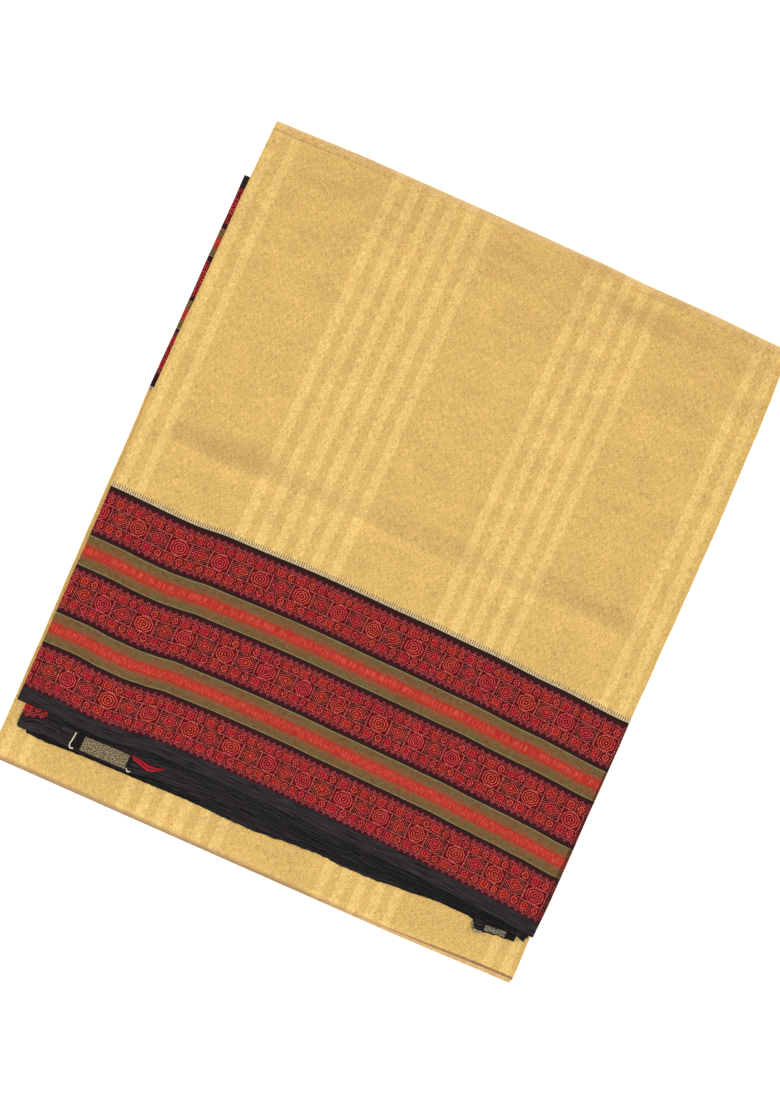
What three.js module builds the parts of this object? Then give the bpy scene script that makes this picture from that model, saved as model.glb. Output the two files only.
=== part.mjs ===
// A silk saree, folded flat into a packet.
//
// The cloth is folded sixteen times along its length into a strip as wide as the packet.
// The strip is then folded in three across its width, like a letter. The front flap lies
// on top and ends in its border. The back lies underneath. The inner flap lies between
// them, and ends in the other border.
//
// X runs along the cloth's length, across the packet. Y runs across the cloth's width,
// from the bottom fold to the top fold. Z is up. All sizes are in millimetres.
import * as THREE from 'three';

// Driving sizes
const PACKET_WIDTH = 344;
const PACKET_LENGTH = 428;
const HALF_WIDTH = PACKET_WIDTH / 2;
const BORDER_DEPTH = 142;
const FLAP_END = 40.7;        // from the top fold to the inner flap's selvedge
const FRONT_SELVEDGE = 388.3; // from the top fold to the front flap's selvedge
const WALL = 1;               // two plies of silk and the air between them
const STRIP = 5.2;            // the hidden plies of one stretch of the strip
const GAP = 0.3;              // between pieces that lie on or beside each other
const FLAP_GAP = 0.4;         // between the inner flap and the back

// Heights of the middle of the strip in each of its three stretches
const BACK_HEIGHT = WALL + GAP + STRIP / 2;
const INNER_HEIGHT = BACK_HEIGHT + STRIP + FLAP_GAP;
const FRONT_HEIGHT = INNER_HEIGHT + STRIP + WALL + 2 * GAP;
const FOLD_RADIUS = (INNER_HEIGHT - BACK_HEIGHT) / 2;
const FOLD_REACH = FOLD_RADIUS + STRIP / 2 + GAP + WALL;
const FOLD_CENTRE = PACKET_LENGTH / 2 - FOLD_REACH;
const OUTSIDE = STRIP / 2 + GAP; // from the middle of the strip to the inside of its outer wall

// Places along Y
const INNER_SELVEDGE_Y = PACKET_LENGTH / 2 - FLAP_END;
const INNER_SEAM_Y = INNER_SELVEDGE_Y - BORDER_DEPTH;
const FRONT_SELVEDGE_Y = PACKET_LENGTH / 2 - FRONT_SELVEDGE;
const FRONT_SEAM_Y = FRONT_SELVEDGE_Y + BORDER_DEPTH;
const FAN_DEPTH = 26;         // from where the selvedge plies part to the front selvedge
const FAN_ROOT_Y = FRONT_SELVEDGE_Y + FAN_DEPTH;
const DROP_MARGIN = 3;        // the front flap sinks onto the fold between these two margins
const DROP_START_Y = INNER_SELVEDGE_Y + DROP_MARGIN;
const DROP_END_Y = FOLD_CENTRE - DROP_MARGIN;

// The front flap hangs unevenly: how far its border lies above (+) or below a straight line
const HANG = [
  { x: -174, rise: 0.0 },
  { x: -149, rise: 0.3 },
  { x: -118, rise: -1.3 },
  { x: -84, rise: 1.2 },
  { x: -30, rise: 2.3 },
  { x: 20, rise: 1.3 },
  { x: 77, rise: 0.1 },
  { x: 123, rise: -1.9 },
  { x: 174, rise: -4.6 },
];
const HANG_STARTS_Y = 149;    // the flap lies straight above this
const HANG_GROWTH = 0.3;      // and hangs this much more at its selvedge than at its seam

// How far each stretch of the strip reaches past half the packet's width, at its two sides
const FRONT_SIDES = [
  { y: 214, left: -1.8, right: 0.6 },
  { y: 172, left: -1.8, right: 1.4 },
  { y: 120, left: -1.0, right: 2.7 },
  { y: 50, left: -0.4, right: 2.9 },
  { y: -2, left: -0.4, right: 2.1 },
  { y: -33, left: -0.5, right: 2.3 },
  { y: -151, left: -0.5, right: 2.0 },
  { y: -191, left: -0.6, right: 1.2 },
];
const BACK_SIDES = [
  { y: 214, left: -1.8, right: 0.6 },
  { y: 100, left: 1.0, right: 0.8 },
  { y: -151, left: 1.6, right: 0.3 },
];
const INNER_SIDES = [
  { y: INNER_SELVEDGE_Y, left: 2.3, right: -2.0 },
  { y: INNER_SEAM_Y, left: 2.9, right: -2.0 },
  { y: -60, left: 2.3, right: -1.0 },
  { y: -151, left: 1.6, right: 0.3 },
];

// The two folds aren't quite straight: how far each lies inside the packet's length
const TOP_FOLD_IN = [
  { x: -172, inward: 1.4 },
  { x: -105, inward: 0.0 },
  { x: -40, inward: 0.0 },
  { x: 45, inward: 0.6 },
  { x: 80, inward: 1.8 },
  { x: 110, inward: 1.9 },
  { x: 172, inward: 3.4 },
];
const BOTTOM_FOLD_IN = [
  { x: 90, inward: 0.0 },
  { x: 172, inward: 1.2 },
];
const TOP_FOLD_FROM = 120;    // the top fold's unevenness starts above this
const BOTTOM_FOLD_FROM = -196; // and the bottom fold's below this
const FOLD_REACHED = 80;      // it is complete this far on at the top
const BOTTOM_REACHED = 12;    // and this far on at the bottom

// The bottom fold shows two lips, parted by a groove that grows towards the right
const GROOVE_DEPTH = { left: 0.5, right: 2.4 };
const GROOVE_ANGLE = 28;      // degrees above the fold's crest
const GROOVE_HALF = 16;

// Soft folds in the front flap: a ridge above the border's seam, and pressed fold lines
const FRONT_FOLDS = [
  { y: 9.6, slope: -0.012, half: 9, height: 1.1 },
  { y: 64, slope: -0.006, half: 16, height: 0.3 },
  { y: 108, slope: 0.004, half: 14, height: -0.4 },
  { y: 150, slope: 0.0, half: 18, height: 0.3 },
];
const FRONT_LIFT = 0.5;       // keeps the deepest trough clear of the strip below
const FOLD_VARIES = 0.2;      // each soft fold grows and fades by this share along its length
const FOLD_WAVE = 31;

// The hidden plies: the strip's folded edges show as ridges at its two sides
const SIDE_FOLDS = 8;
const SIDE_FOLD_DEPTH = 0.7;
const PLIES_INSET = 0.8;

// The selvedge plies that fan out below the front flap, from the top one down: where each
// one's edge lies, from its left end to its right end, as [x, y]
const FAN = [
  {
    name: 'selvedge_ply_1',
    edge: [
      [-150.5, -177.9], [-110, -176.9], [-70, -174.1], [-30, -175.3], [0, -176.1], [30, -177.6],
      [60, -176.5], [100, -177.7], [130, -178.6], [150, -179.9], [171, -182],
    ],
  },
  {
    name: 'selvedge_ply_2',
    edge: [
      [-139.4, -188.9], [-95, -188.3], [-70, -185], [-40, -181], [0, -180], [40, -180.4],
      [80, -180], [120, -180.6], [145, -181.6], [167, -183.4],
    ],
  },
  {
    name: 'selvedge_ply_3',
    edge: [
      [-165.4, -189.6], [-140, -190.2], [-100, -189.3], [-60, -187.2], [-20, -185.2], [20, -184],
      [60, -184], [100, -182.6], [145, -183.2], [163, -183.6], [170.2, -185.1],
    ],
  },
  {
    name: 'selvedge_ply_4',
    edge: [
      [-159, -191.4], [-146, -191.9], [-130, -190.7], [-84, -189.9], [-54, -189.1], [-30, -189.8],
      [-8, -190], [12, -188.3], [35, -186.8], [48, -187.7], [70, -187.6], [90, -185.8],
      [115, -183.9], [132, -184.3], [144, -189], [158, -188.2], [164.5, -187.3],
    ],
  },
];

// Small things on the selvedge: woven tabs, and the pin beside one of them
const TAB_THICK = 0.6;
const LEFT_TAB = { x: -109.6, y: -182.6, length: 29.4, depth: 9 };
const RIGHT_TAB = { x: 153.4, y: -185.9, length: 19, depth: 3.4 };
const PIN = { x: -130.8, top: -178, bottom: -187.4, foot: 2.6, radius: 0.45, bend: 0.4 };

// Mesh steps: for a quarter turn, for the front flap's sink, and across the pieces
const TURN_STEPS = 5;
const DROP_STEPS = 6;
const FRONT_COLUMNS = 20;
const PLAIN_COLUMNS = 8;
const FAN_COLUMNS = 26;
const BORDER_ROWS = 12;
const BODY_ROWS = 15;
const PLIES_ROWS = 7;
const PLAIN_ROWS = 6;
const FAN_ROWS = 3;
const TAB_ROWS = 2;
const TAB_COLUMNS = 6;
const CREST_GAP = 2; // degrees left open on each side of where two pieces meet at a fold

// Colours
const COLOUR = {
  gold: 0xdfb976,
  red: 0x9c3430,
  black: 0x2d2b2c,
  khaki: 0x968c68,
  brass: 0xc9a86a,
};

function silk(colour) {
  return new THREE.MeshStandardMaterial({ color: colour, roughness: 0.6, metalness: 0 });
}

const lerp = THREE.MathUtils.lerp;

// The value in one column of a short table, at a place along another
function readTable(table, key, place, column) {
  const rows = [...table].sort((a, b) => a[key] - b[key]);
  if (place <= rows[0][key]) return rows[0][column];
  for (let i = 1; i < rows.length; i += 1) {
    if (place > rows[i][key]) continue;
    const share = (place - rows[i - 1][key]) / (rows[i][key] - rows[i - 1][key]);
    return lerp(rows[i - 1][column], rows[i][column], share * share * (3 - 2 * share));
  }
  return rows.at(-1)[column];
}

function evenly(from, to, count) {
  return Array.from({ length: count + 1 }, (_, i) => lerp(from, to, i / count));
}

// Degrees round the bottom fold: the lower lip below its groove, and the upper lip above it
const LOWER_LIP = evenly(-90, GROOVE_ANGLE - CREST_GAP, 2 * TURN_STEPS);
const UPPER_LIP = evenly(GROOVE_ANGLE + CREST_GAP, 90, TURN_STEPS + 1);

// A row of the folded strip's middle line: its place, and the direction that faces out
function flatRow(y, height, outward) {
  return { y, z: height, ny: 0, nz: outward };
}

function dropRow(share) {
  const eased = THREE.MathUtils.smoothstep(share, 0, 1);
  const slope = 6 * share * (1 - share) * (INNER_HEIGHT - FRONT_HEIGHT) / (DROP_END_Y - DROP_START_Y);
  const norm = Math.hypot(1, slope);
  return {
    y: lerp(DROP_START_Y, DROP_END_Y, share),
    z: lerp(FRONT_HEIGHT, INNER_HEIGHT, eased),
    ny: -slope / norm,
    nz: 1 / norm,
  };
}

function turnRow(degrees, end) {
  const angle = THREE.MathUtils.degToRad(degrees);
  const ny = Math.cos(angle) * end;
  const nz = Math.sin(angle);
  const fromGroove = (degrees - GROOVE_ANGLE) / GROOVE_HALF;
  return {
    y: end * FOLD_CENTRE + ny * FOLD_RADIUS,
    z: (BACK_HEIGHT + INNER_HEIGHT) / 2 + nz * FOLD_RADIUS,
    ny,
    nz,
    groove: end < 0 ? Math.exp(-fromGroove * fromGroove) : 0,
  };
}

// How far the two folds' unevenness moves a place along Y
function foldShift(x, y) {
  const top = THREE.MathUtils.smoothstep(y - TOP_FOLD_FROM, 0, FOLD_REACHED);
  const bottom = THREE.MathUtils.smoothstep(BOTTOM_FOLD_FROM - y, 0, BOTTOM_REACHED);
  return bottom * readTable(BOTTOM_FOLD_IN, 'x', x, 'inward') - top * readTable(TOP_FOLD_IN, 'x', x, 'inward');
}

// A point of the packet at x, so far out from the middle of the strip
function rowPoint(row, x, out) {
  const share = Math.min(1, (FOLD_RADIUS + out) / (FOLD_RADIUS + STRIP / 2));
  const depth = lerp(GROOVE_DEPTH.left, GROOVE_DEPTH.right, (x + HALF_WIDTH) / PACKET_WIDTH);
  const sunk = (row.groove ?? 0) * share * depth;
  return [x, row.y + row.ny * (out - sunk) + foldShift(x, row.y), row.z + row.nz * (out - sunk)];
}

// A closed mesh from its points and quads, turned to face out
function closedMesh(points, quads) {
  const triangles = quads.flatMap(([a, b, c, d]) => [[a, b, c], [a, c, d]]);
  const at = (i) => new THREE.Vector3(...points[i]);
  const volume = triangles.reduce((sum, [a, b, c]) => sum + at(a).dot(at(b).cross(at(c))), 0);
  const facing = volume < 0 ? triangles.map(([a, b, c]) => [a, c, b]) : triangles;
  const geometry = new THREE.BufferGeometry();
  geometry.setAttribute('position', new THREE.Float32BufferAttribute(points.flat(), 3));
  geometry.setIndex(facing.flat());
  geometry.computeVertexNormals();
  return geometry;
}

// A wall of cloth: place(row, share, side) gives a point of its inside (0) or outside (1)
function wall(rows, columns, place) {
  const shares = evenly(0, 1, columns);
  const across = columns + 1;
  const layer = rows.length * across;
  const points = [0, 1].flatMap((side) => (
    rows.flatMap((row) => shares.map((share) => place(row, share, side)))
  ));
  const quads = [];
  for (let r = 0; r + 1 < rows.length; r += 1) {
    for (let c = 0; c < columns; c += 1) {
      const a = r * across + c;
      const face = [a, a + 1, a + 1 + across, a + across];
      quads.push([...face].reverse(), face.map((i) => i + layer));
    }
  }
  const rim = [];
  for (let c = 0; c < columns; c += 1) rim.push(c);
  for (let r = 0; r + 1 < rows.length; r += 1) rim.push(r * across + columns);
  for (let c = columns; c > 0; c -= 1) rim.push((rows.length - 1) * across + c);
  for (let r = rows.length - 1; r > 0; r -= 1) rim.push(r * across);
  rim.forEach((a, i) => {
    const b = rim[(i + 1) % rim.length];
    quads.push([a, b, b + layer, a + layer]);
  });
  return closedMesh(points, quads);
}

function frontHang(x, y) {
  const reach = THREE.MathUtils.smoothstep(HANG_STARTS_Y - y, 0, HANG_STARTS_Y - FRONT_SEAM_Y);
  const growth = 1 + HANG_GROWTH * Math.max(0, FRONT_SEAM_Y - y) / BORDER_DEPTH;
  return readTable(HANG, 'x', x, 'rise') * reach * growth;
}

function frontRelief(x, y) {
  const folds = FRONT_FOLDS.reduce((sum, fold) => {
    const away = (y - fold.y - fold.slope * x) / fold.half;
    const share = 1 - FOLD_VARIES * (1 - Math.sin(x / FOLD_WAVE + fold.y));
    return sum + fold.height * share * Math.exp(-away * away);
  }, 0);
  return Math.max(0, FRONT_LIFT + folds);
}

// A place across a stretch of the strip: share 0 is its left side, and share 1 its right
function acrossX(sides, y, share, inset = 0) {
  const left = -HALF_WIDTH - readTable(sides, 'y', y, 'left') + inset;
  const right = HALF_WIDTH + readTable(sides, 'y', y, 'right') - inset;
  return lerp(left, right, share);
}

// A point of the front flap, lifted by its soft folds, and hanging by its uneven border
function frontPoint(row, share, side) {
  const x = acrossX(FRONT_SIDES, row.y, share);
  const [, y, z] = rowPoint(row, x, OUTSIDE + side * WALL);
  const lift = (row.lift ?? 0) * frontRelief(x, row.y);
  return [x, y + frontHang(x, row.y) + (row.seam ?? 0), z + lift];
}

// The front border lies down on the selvedge plies at its edge, and lifts above them
function frontBorder() {
  const rows = evenly(FRONT_SELVEDGE_Y, FRONT_SEAM_Y, BORDER_ROWS).map((y) => ({
    ...flatRow(y, FRONT_HEIGHT, 1),
    lift: THREE.MathUtils.smoothstep(y, FRONT_SELVEDGE_Y, FAN_ROOT_Y),
  }));
  return wall(rows, FRONT_COLUMNS, frontPoint);
}

// The front flap from the border's seam over the top fold to its crest
function frontBody() {
  const flat = evenly(FRONT_SEAM_Y, DROP_START_Y, BODY_ROWS).map((y, i, all) => ({
    ...flatRow(y, FRONT_HEIGHT, 1),
    seam: i === 0 ? GAP : 0,
    lift: i === all.length - 1 ? 0 : 1,
  }));
  const drop = evenly(0, 1, DROP_STEPS).slice(1).map(dropRow);
  const turn = evenly(90, CREST_GAP, TURN_STEPS).map((angle) => turnRow(angle, 1));
  return wall([...flat, ...drop, ...turn], FRONT_COLUMNS, frontPoint);
}

// The underside, from the crest of the top fold to the groove of the bottom fold
function backBody() {
  const top = evenly(-CREST_GAP, -90, TURN_STEPS).map((angle) => turnRow(angle, 1));
  const middle = evenly(FOLD_CENTRE, -FOLD_CENTRE, PLAIN_ROWS).slice(1, -1);
  const flat = middle.map((y) => flatRow(y, BACK_HEIGHT, -1));
  const bottom = LOWER_LIP.map((angle) => turnRow(angle, -1));
  return wall([...top, ...flat, ...bottom], PLAIN_COLUMNS, (row, share, side) => (
    rowPoint(row, acrossX(BACK_SIDES, row.y, share), OUTSIDE + side * WALL)
  ));
}

// The inner flap from the bottom fold's groove to its border: its end shows as a strip
function lowerBody() {
  const turn = UPPER_LIP.map((angle) => turnRow(angle, -1));
  const places = evenly(-FOLD_CENTRE, INNER_SEAM_Y - GAP, PLAIN_ROWS).slice(1);
  const flat = places.map((y) => flatRow(y, INNER_HEIGHT, 1));
  return wall([...turn, ...flat], PLAIN_COLUMNS, (row, share, side) => (
    rowPoint(row, acrossX(INNER_SIDES, row.y, share), OUTSIDE + side * WALL)
  ));
}

// The other border, which shows past the packet's left side
function innerBorder() {
  const rows = evenly(INNER_SEAM_Y, INNER_SELVEDGE_Y, PLAIN_ROWS).map((y) => flatRow(y, INNER_HEIGHT, 1));
  return wall(rows, PLAIN_COLUMNS, (row, share, side) => (
    rowPoint(row, acrossX(INNER_SIDES, row.y, share), OUTSIDE + side * WALL)
  ));
}

// The hidden plies: one rounded solid that follows the letter fold, ridged at its sides
function hiddenPlies() {
  const front = [
    ...evenly(FAN_ROOT_Y + GAP, DROP_START_Y, PLIES_ROWS).map((y) => flatRow(y, FRONT_HEIGHT, 1)),
    ...evenly(0, 1, DROP_STEPS).slice(1).map(dropRow),
    ...evenly(90, 0, TURN_STEPS).map((angle) => turnRow(angle, 1)),
  ];
  const back = [
    ...evenly(0, -90, TURN_STEPS).slice(1).map((angle) => turnRow(angle, 1)),
    ...evenly(FOLD_CENTRE, -FOLD_CENTRE, PLAIN_ROWS).slice(1, -1).map((y) => flatRow(y, BACK_HEIGHT, -1)),
    ...LOWER_LIP.map((angle) => turnRow(angle, -1)),
  ];
  const inner = [
    ...UPPER_LIP.map((angle) => turnRow(angle, -1)),
    ...evenly(-FOLD_CENTRE, INNER_SELVEDGE_Y - GAP, PLAIN_ROWS).slice(1).map((y) => flatRow(y, INNER_HEIGHT, 1)),
  ];
  const rows = [
    ...front.map((row) => ({ ...row, sides: FRONT_SIDES })),
    ...back.map((row) => ({ ...row, sides: BACK_SIDES })),
    ...inner.map((row) => ({ ...row, sides: INNER_SIDES })),
  ];
  const levels = evenly(-STRIP / 2, STRIP / 2, 2 * SIDE_FOLDS);
  const right = levels.map((out, i) => ({ side: 1, out, cut: i % 2 ? 0 : SIDE_FOLD_DEPTH }));
  const outline = [...right, ...[...right].reverse().map((point) => ({ ...point, side: -1 }))];
  const points = rows.flatMap((row) => outline.map(({ side, out, cut }) => (
    rowPoint(row, acrossX(row.sides, row.y, side > 0 ? 1 : 0, PLIES_INSET + cut), out)
  )));
  const ring = outline.length;
  const quads = [];
  for (let r = 0; r + 1 < rows.length; r += 1) {
    for (let c = 0; c < ring; c += 1) {
      const next = (c + 1) % ring;
      quads.push([r * ring + c, r * ring + next, (r + 1) * ring + next, (r + 1) * ring + c]);
    }
  }
  const end = (rows.length - 1) * ring;
  for (let c = 0; c + 1 < levels.length; c += 1) {
    const mirror = ring - 1 - c;
    quads.push([c, mirror, mirror - 1, c + 1]);
    quads.push([end + c + 1, end + mirror - 1, end + mirror, end + c]);
  }
  return closedMesh(points, quads);
}

function plyTop(index) {
  return FRONT_HEIGHT + STRIP / 2 - index * (WALL + GAP);
}

function selvedgePly(ply, index) {
  const edge = ply.edge.map(([x, y]) => ({ x, y }));
  return wall(evenly(0, 1, FAN_ROWS), FAN_COLUMNS, (share, column, side) => {
    const x = lerp(edge[0].x, edge.at(-1).x, column);
    const y = lerp(FAN_ROOT_Y, readTable(edge, 'x', x, 'y'), share);
    return [x, y, plyTop(index) - (1 - side) * WALL];
  });
}

// A small woven tab, lying on a selvedge ply
function wovenTab(tab, height) {
  return wall(evenly(-0.5, 0.5, TAB_ROWS), TAB_COLUMNS, (row, share, side) => [
    tab.x + (share - 0.5) * tab.length,
    tab.y + row * tab.depth,
    height + side * TAB_THICK,
  ]);
}

// A fine bent pin beside the left tab
function pinWire(height) {
  const level = height + PIN.radius;
  const path = new THREE.CurvePath();
  const corner = new THREE.Vector3(PIN.x - PIN.bend, PIN.bottom, level);
  const foot = new THREE.Vector3(PIN.x + PIN.foot, PIN.bottom - PIN.bend, level);
  path.add(new THREE.LineCurve3(new THREE.Vector3(PIN.x, PIN.top, level), corner));
  path.add(new THREE.LineCurve3(corner, foot));
  const smooth = new THREE.CatmullRomCurve3(path.getPoints(1), false, 'chordal');
  const section = new THREE.Shape();
  section.absarc(0, 0, PIN.radius, 0, 2 * Math.PI, false);
  return new THREE.ExtrudeGeometry(section, { steps: 10, curveSegments: 4, extrudePath: smooth });
}

const saree = new THREE.Group();

function addNode(name, geometry, material) {
  const mesh = new THREE.Mesh(geometry, material);
  mesh.name = name;
  saree.add(mesh);
}

const goldSilk = silk(COLOUR.gold);
const redSilk = silk(COLOUR.red);
const blackSilk = silk(COLOUR.black);
const khakiWeave = silk(COLOUR.khaki);
const brass = new THREE.MeshStandardMaterial({ color: COLOUR.brass, roughness: 0.3, metalness: 1 });

addNode('front_body', frontBody(), goldSilk);
addNode('front_border', frontBorder(), redSilk);
addNode('back_body', backBody(), goldSilk);
addNode('lower_body', lowerBody(), goldSilk);
addNode('inner_border', innerBorder(), redSilk);
addNode('hidden_plies', hiddenPlies(), goldSilk);
FAN.forEach((ply, index) => addNode(ply.name, selvedgePly(ply, index), blackSilk));
addNode('left_tab', wovenTab(LEFT_TAB, plyTop(1) + GAP), khakiWeave);
addNode('right_tab', wovenTab(RIGHT_TAB, plyTop(3) + GAP), khakiWeave);
addNode('tab_pin', pinWire(plyTop(1) + GAP), brass);

export default saree;
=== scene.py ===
# %% [markdown]
# # A silk saree, folded flat into a packet
#
# A saree is one woven length of silk. It is folded sixteen times along its length into a strip,
# and the strip in three like a letter. The solid frame has the shape and the sizes. Here each
# stretch of cloth is a thin sheet that starts flat, at its woven size, and is laid over the fold.
# A cloth simulation could fold it too, but it wouldn't end at the places that the frame gives.

import math
import random

import bpy
import numpy as np
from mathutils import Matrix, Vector, noise


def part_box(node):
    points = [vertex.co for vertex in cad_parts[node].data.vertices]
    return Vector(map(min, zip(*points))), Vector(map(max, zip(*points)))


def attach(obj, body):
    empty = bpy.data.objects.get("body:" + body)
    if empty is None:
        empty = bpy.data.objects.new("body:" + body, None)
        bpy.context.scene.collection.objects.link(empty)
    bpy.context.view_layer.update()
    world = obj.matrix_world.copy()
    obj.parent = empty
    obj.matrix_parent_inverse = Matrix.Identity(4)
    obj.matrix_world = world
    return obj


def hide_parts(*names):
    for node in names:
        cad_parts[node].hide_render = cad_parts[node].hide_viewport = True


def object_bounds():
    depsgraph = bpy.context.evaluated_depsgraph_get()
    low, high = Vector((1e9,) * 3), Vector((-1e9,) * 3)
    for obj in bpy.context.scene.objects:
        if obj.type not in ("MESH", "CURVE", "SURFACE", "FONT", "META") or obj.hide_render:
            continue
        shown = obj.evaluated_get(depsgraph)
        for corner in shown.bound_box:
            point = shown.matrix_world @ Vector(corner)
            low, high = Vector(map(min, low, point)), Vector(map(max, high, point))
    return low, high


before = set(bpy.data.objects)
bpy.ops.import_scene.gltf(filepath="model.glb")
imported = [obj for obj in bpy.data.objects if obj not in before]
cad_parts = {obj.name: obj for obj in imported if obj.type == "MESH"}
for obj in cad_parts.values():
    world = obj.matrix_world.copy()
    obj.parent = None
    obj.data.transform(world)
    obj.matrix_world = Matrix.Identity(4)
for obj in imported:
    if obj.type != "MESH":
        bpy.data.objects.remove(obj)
cad_low, cad_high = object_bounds()
MM = 0.001


def deselect():
    bpy.ops.object.select_all(action="DESELECT")


deselect()
print("the packet is", [round(side / MM, 1) for side in cad_high - cad_low], "mm")

# %% [markdown]
# ## The camera
# The photograph looks straight down on a packet that lies turned. Turning the camera about the
# vertical does the same and leaves the packet square to the axes.

# %% Place the camera
LENS, SENSOR = 85, 36
VIEW_HEIGHT = 672.2 * MM
VIEW_TURN = math.radians(23.9)
VIEW_CENTRE = Vector((-0.1 * MM, -2.0 * MM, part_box("front_border")[1].z))

bpy.ops.object.camera_add()
camera = bpy.context.object
camera.name = "photo_camera"
camera.data.lens = LENS
camera.data.sensor_width = SENSOR
camera.location = VIEW_CENTRE + Vector((0, 0, VIEW_HEIGHT * LENS / SENSOR))
camera.rotation_euler = (0, 0, VIEW_TURN)
bpy.context.scene.camera = camera
print("the camera is", round(camera.location.z, 3), "m above the table")

# %% [markdown]
# ## The light and the table
# Cloth is lit softly from all round, so that its colours are true, with a little more light from
# one side to show the folds. The white world gives the first, and a large low lamp the second.
# More lamps could do the same, but two lights are easier to balance.

# %% Light the table
WORLD_LIGHT = 1.0
LAMP_POWER = 28.0
LAMP_SIZE = 1.6
LAMP_PLACE = Vector((-0.55, -2.85, 1.6))
TABLE_SIZE = 6.0
TABLE_LOOK = {
    "Base Color": (0.93, 0.93, 0.93, 1),
    "Roughness": 0.9,
    "Specular IOR Level": 0.1,
    "Emission Color": (1, 1, 1, 1),
    "Emission Strength": 0.4,
}


def new_material(name, look):
    """A material, and its shader with these values on its own sockets."""
    material = bpy.data.materials.new(name)
    material.use_nodes = True
    shader = material.node_tree.nodes["Principled BSDF"]
    for socket, value in look.items():
        shader.inputs[socket].default_value = value
    return material, shader


scene = bpy.context.scene
scene.view_settings.view_transform = "Standard"
scene.world = bpy.data.worlds.new("studio")
scene.world.use_nodes = True
sky = scene.world.node_tree.nodes["Background"]
sky.inputs["Color"].default_value = (1, 1, 1, 1)
sky.inputs["Strength"].default_value = WORLD_LIGHT

bpy.ops.object.light_add(type="AREA", location=LAMP_PLACE)
lamp = bpy.context.object
lamp.name = "window_lamp"
lamp.data.size = LAMP_SIZE
lamp.data.energy = LAMP_POWER
lamp.rotation_euler = (-LAMP_PLACE).to_track_quat("-Z", "Y").to_euler()

bpy.ops.mesh.primitive_plane_add(size=TABLE_SIZE)
table_top = bpy.context.object
table_top.name = "table_top"
white, _ = new_material("white table", TABLE_LOOK)
table_top.data.materials.append(white)
print("lit by a lamp of", LAMP_POWER, "W and a white world")

# %% [markdown]
# ## The route of the outer ply
# Seen from the side, the outer ply runs up the front flap, sinks onto the fold, turns round it,
# runs back underneath, turns again and ends on the inner flap. A place on the cloth is two
# numbers: where it is across the packet (x), and how far along this line (s).
# Stretches made apart would break the weave at the folds, and one route carries it round them.

# %% Trace the outer ply from selvedge to selvedge
WALL = 1.0 * MM
HALF_WIDTH = 172 * MM
FRONT_SELVEDGE = -174.3 * MM
INNER_SELVEDGE = 174.5 * MM
SINK_MARGIN = 3.0 * MM
BORDER = 142.0 * MM
STEP = 0.5 * MM
TURN_STEPS = 60
SINK_STEPS = 40

FRONT_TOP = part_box("front_border")[0].z + WALL
INNER_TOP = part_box("lower_body")[1].z
ROLL_RADIUS = INNER_TOP / 2
ROLL_Y = cad_high.y - ROLL_RADIUS
SINK_START = INNER_SELVEDGE + SINK_MARGIN
SINK_END = ROLL_Y - SINK_MARGIN


def ease(share):
    share = np.clip(share, 0, 1)
    return share * share * (3 - 2 * share)


def line(start, end, height):
    count = round(abs(end - start) / STEP)
    return [(y, height) for y in np.linspace(start, end, count, endpoint=False)]


def half_turn(end):
    """Round a fold: down over the top fold (1), or up over the bottom fold (-1)."""
    quarter = end * math.pi / 2
    angles = np.linspace(quarter, -quarter, TURN_STEPS, endpoint=False)
    return [(end * (ROLL_Y + ROLL_RADIUS * math.cos(a)), ROLL_RADIUS * (1 + math.sin(a))) for a in angles]


def sink():
    shares = np.linspace(0, 1, SINK_STEPS, endpoint=False)
    return [
        (SINK_START + t * (SINK_END - SINK_START), FRONT_TOP + ease(t) * (INNER_TOP - FRONT_TOP))
        for t in shares
    ]


ROUTE = np.array(
    line(FRONT_SELVEDGE, SINK_START, FRONT_TOP)
    + sink()
    + line(SINK_END, ROLL_Y, INNER_TOP)
    + half_turn(1)
    + line(ROLL_Y, -ROLL_Y, 0)
    + half_turn(-1)
    + line(-ROLL_Y, INNER_SELVEDGE, INNER_TOP)
    + [(INNER_SELVEDGE, INNER_TOP)]
)
ROUTE_S = np.concatenate([[0], np.cumsum(np.hypot(*np.diff(ROUTE, axis=0).T))])
CLOTH_WIDTH = ROUTE_S[-1]
TOP_CREST = ROUTE_S[ROUTE[:, 0].argmax()]
BOTTOM_CREST = ROUTE_S[ROUTE[:, 0].argmin()]
RIDGE_CREST = 9 * MM - FRONT_SELVEDGE
ROUTE_OUT = np.gradient(ROUTE, ROUTE_S, axis=0)[:, ::-1] * (-1, 1)
ROUTE_OUT /= np.linalg.norm(ROUTE_OUT, axis=1, keepdims=True)
print("the cloth is", round(CLOTH_WIDTH / MM), "mm from selvedge to selvedge")

# %% [markdown]
# ## The packet's sides and its uneven hang
# No fold is exact. Each stretch reaches further out in one place than in another, and the front
# flap hangs lower at the right. Short tables hold these amounts, eased between their entries.
# The sides could be sculpted by hand, but a table can be measured and changed.

# %% Set how far each stretch reaches, and how the front flap hangs
# y, and how far the left and the right side reach past half the width, in mm
FRONT_SIDES = [
    (-191, -0.6, 1.2), (-175, -0.6, 1.6), (-151, -0.6, 2.2), (-60, -0.6, 2.4), (-33, -0.3, 2.4),
    (20, 0.1, 2.6), (60, -0.3, 3.0), (100, -0.9, 3.0), (125, -1.3, 2.6), (150, -1.5, 2.3),
    (175, -1.8, 1.7), (214, -1.8, 0.6),
]
BACK_SIDES = [(-214, 1.6, 1.0), (-151, 1.6, 0.6), (100, 1.0, 0.8), (214, -1.8, 0.6)]
INNER_SIDES = [(-214, 1.6, 1.0), (-151, 1.8, 0.6), (-60, 2.6, -1.0), (31, 3.4, -2.0), (173, 2.8, -2.0)]

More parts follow.
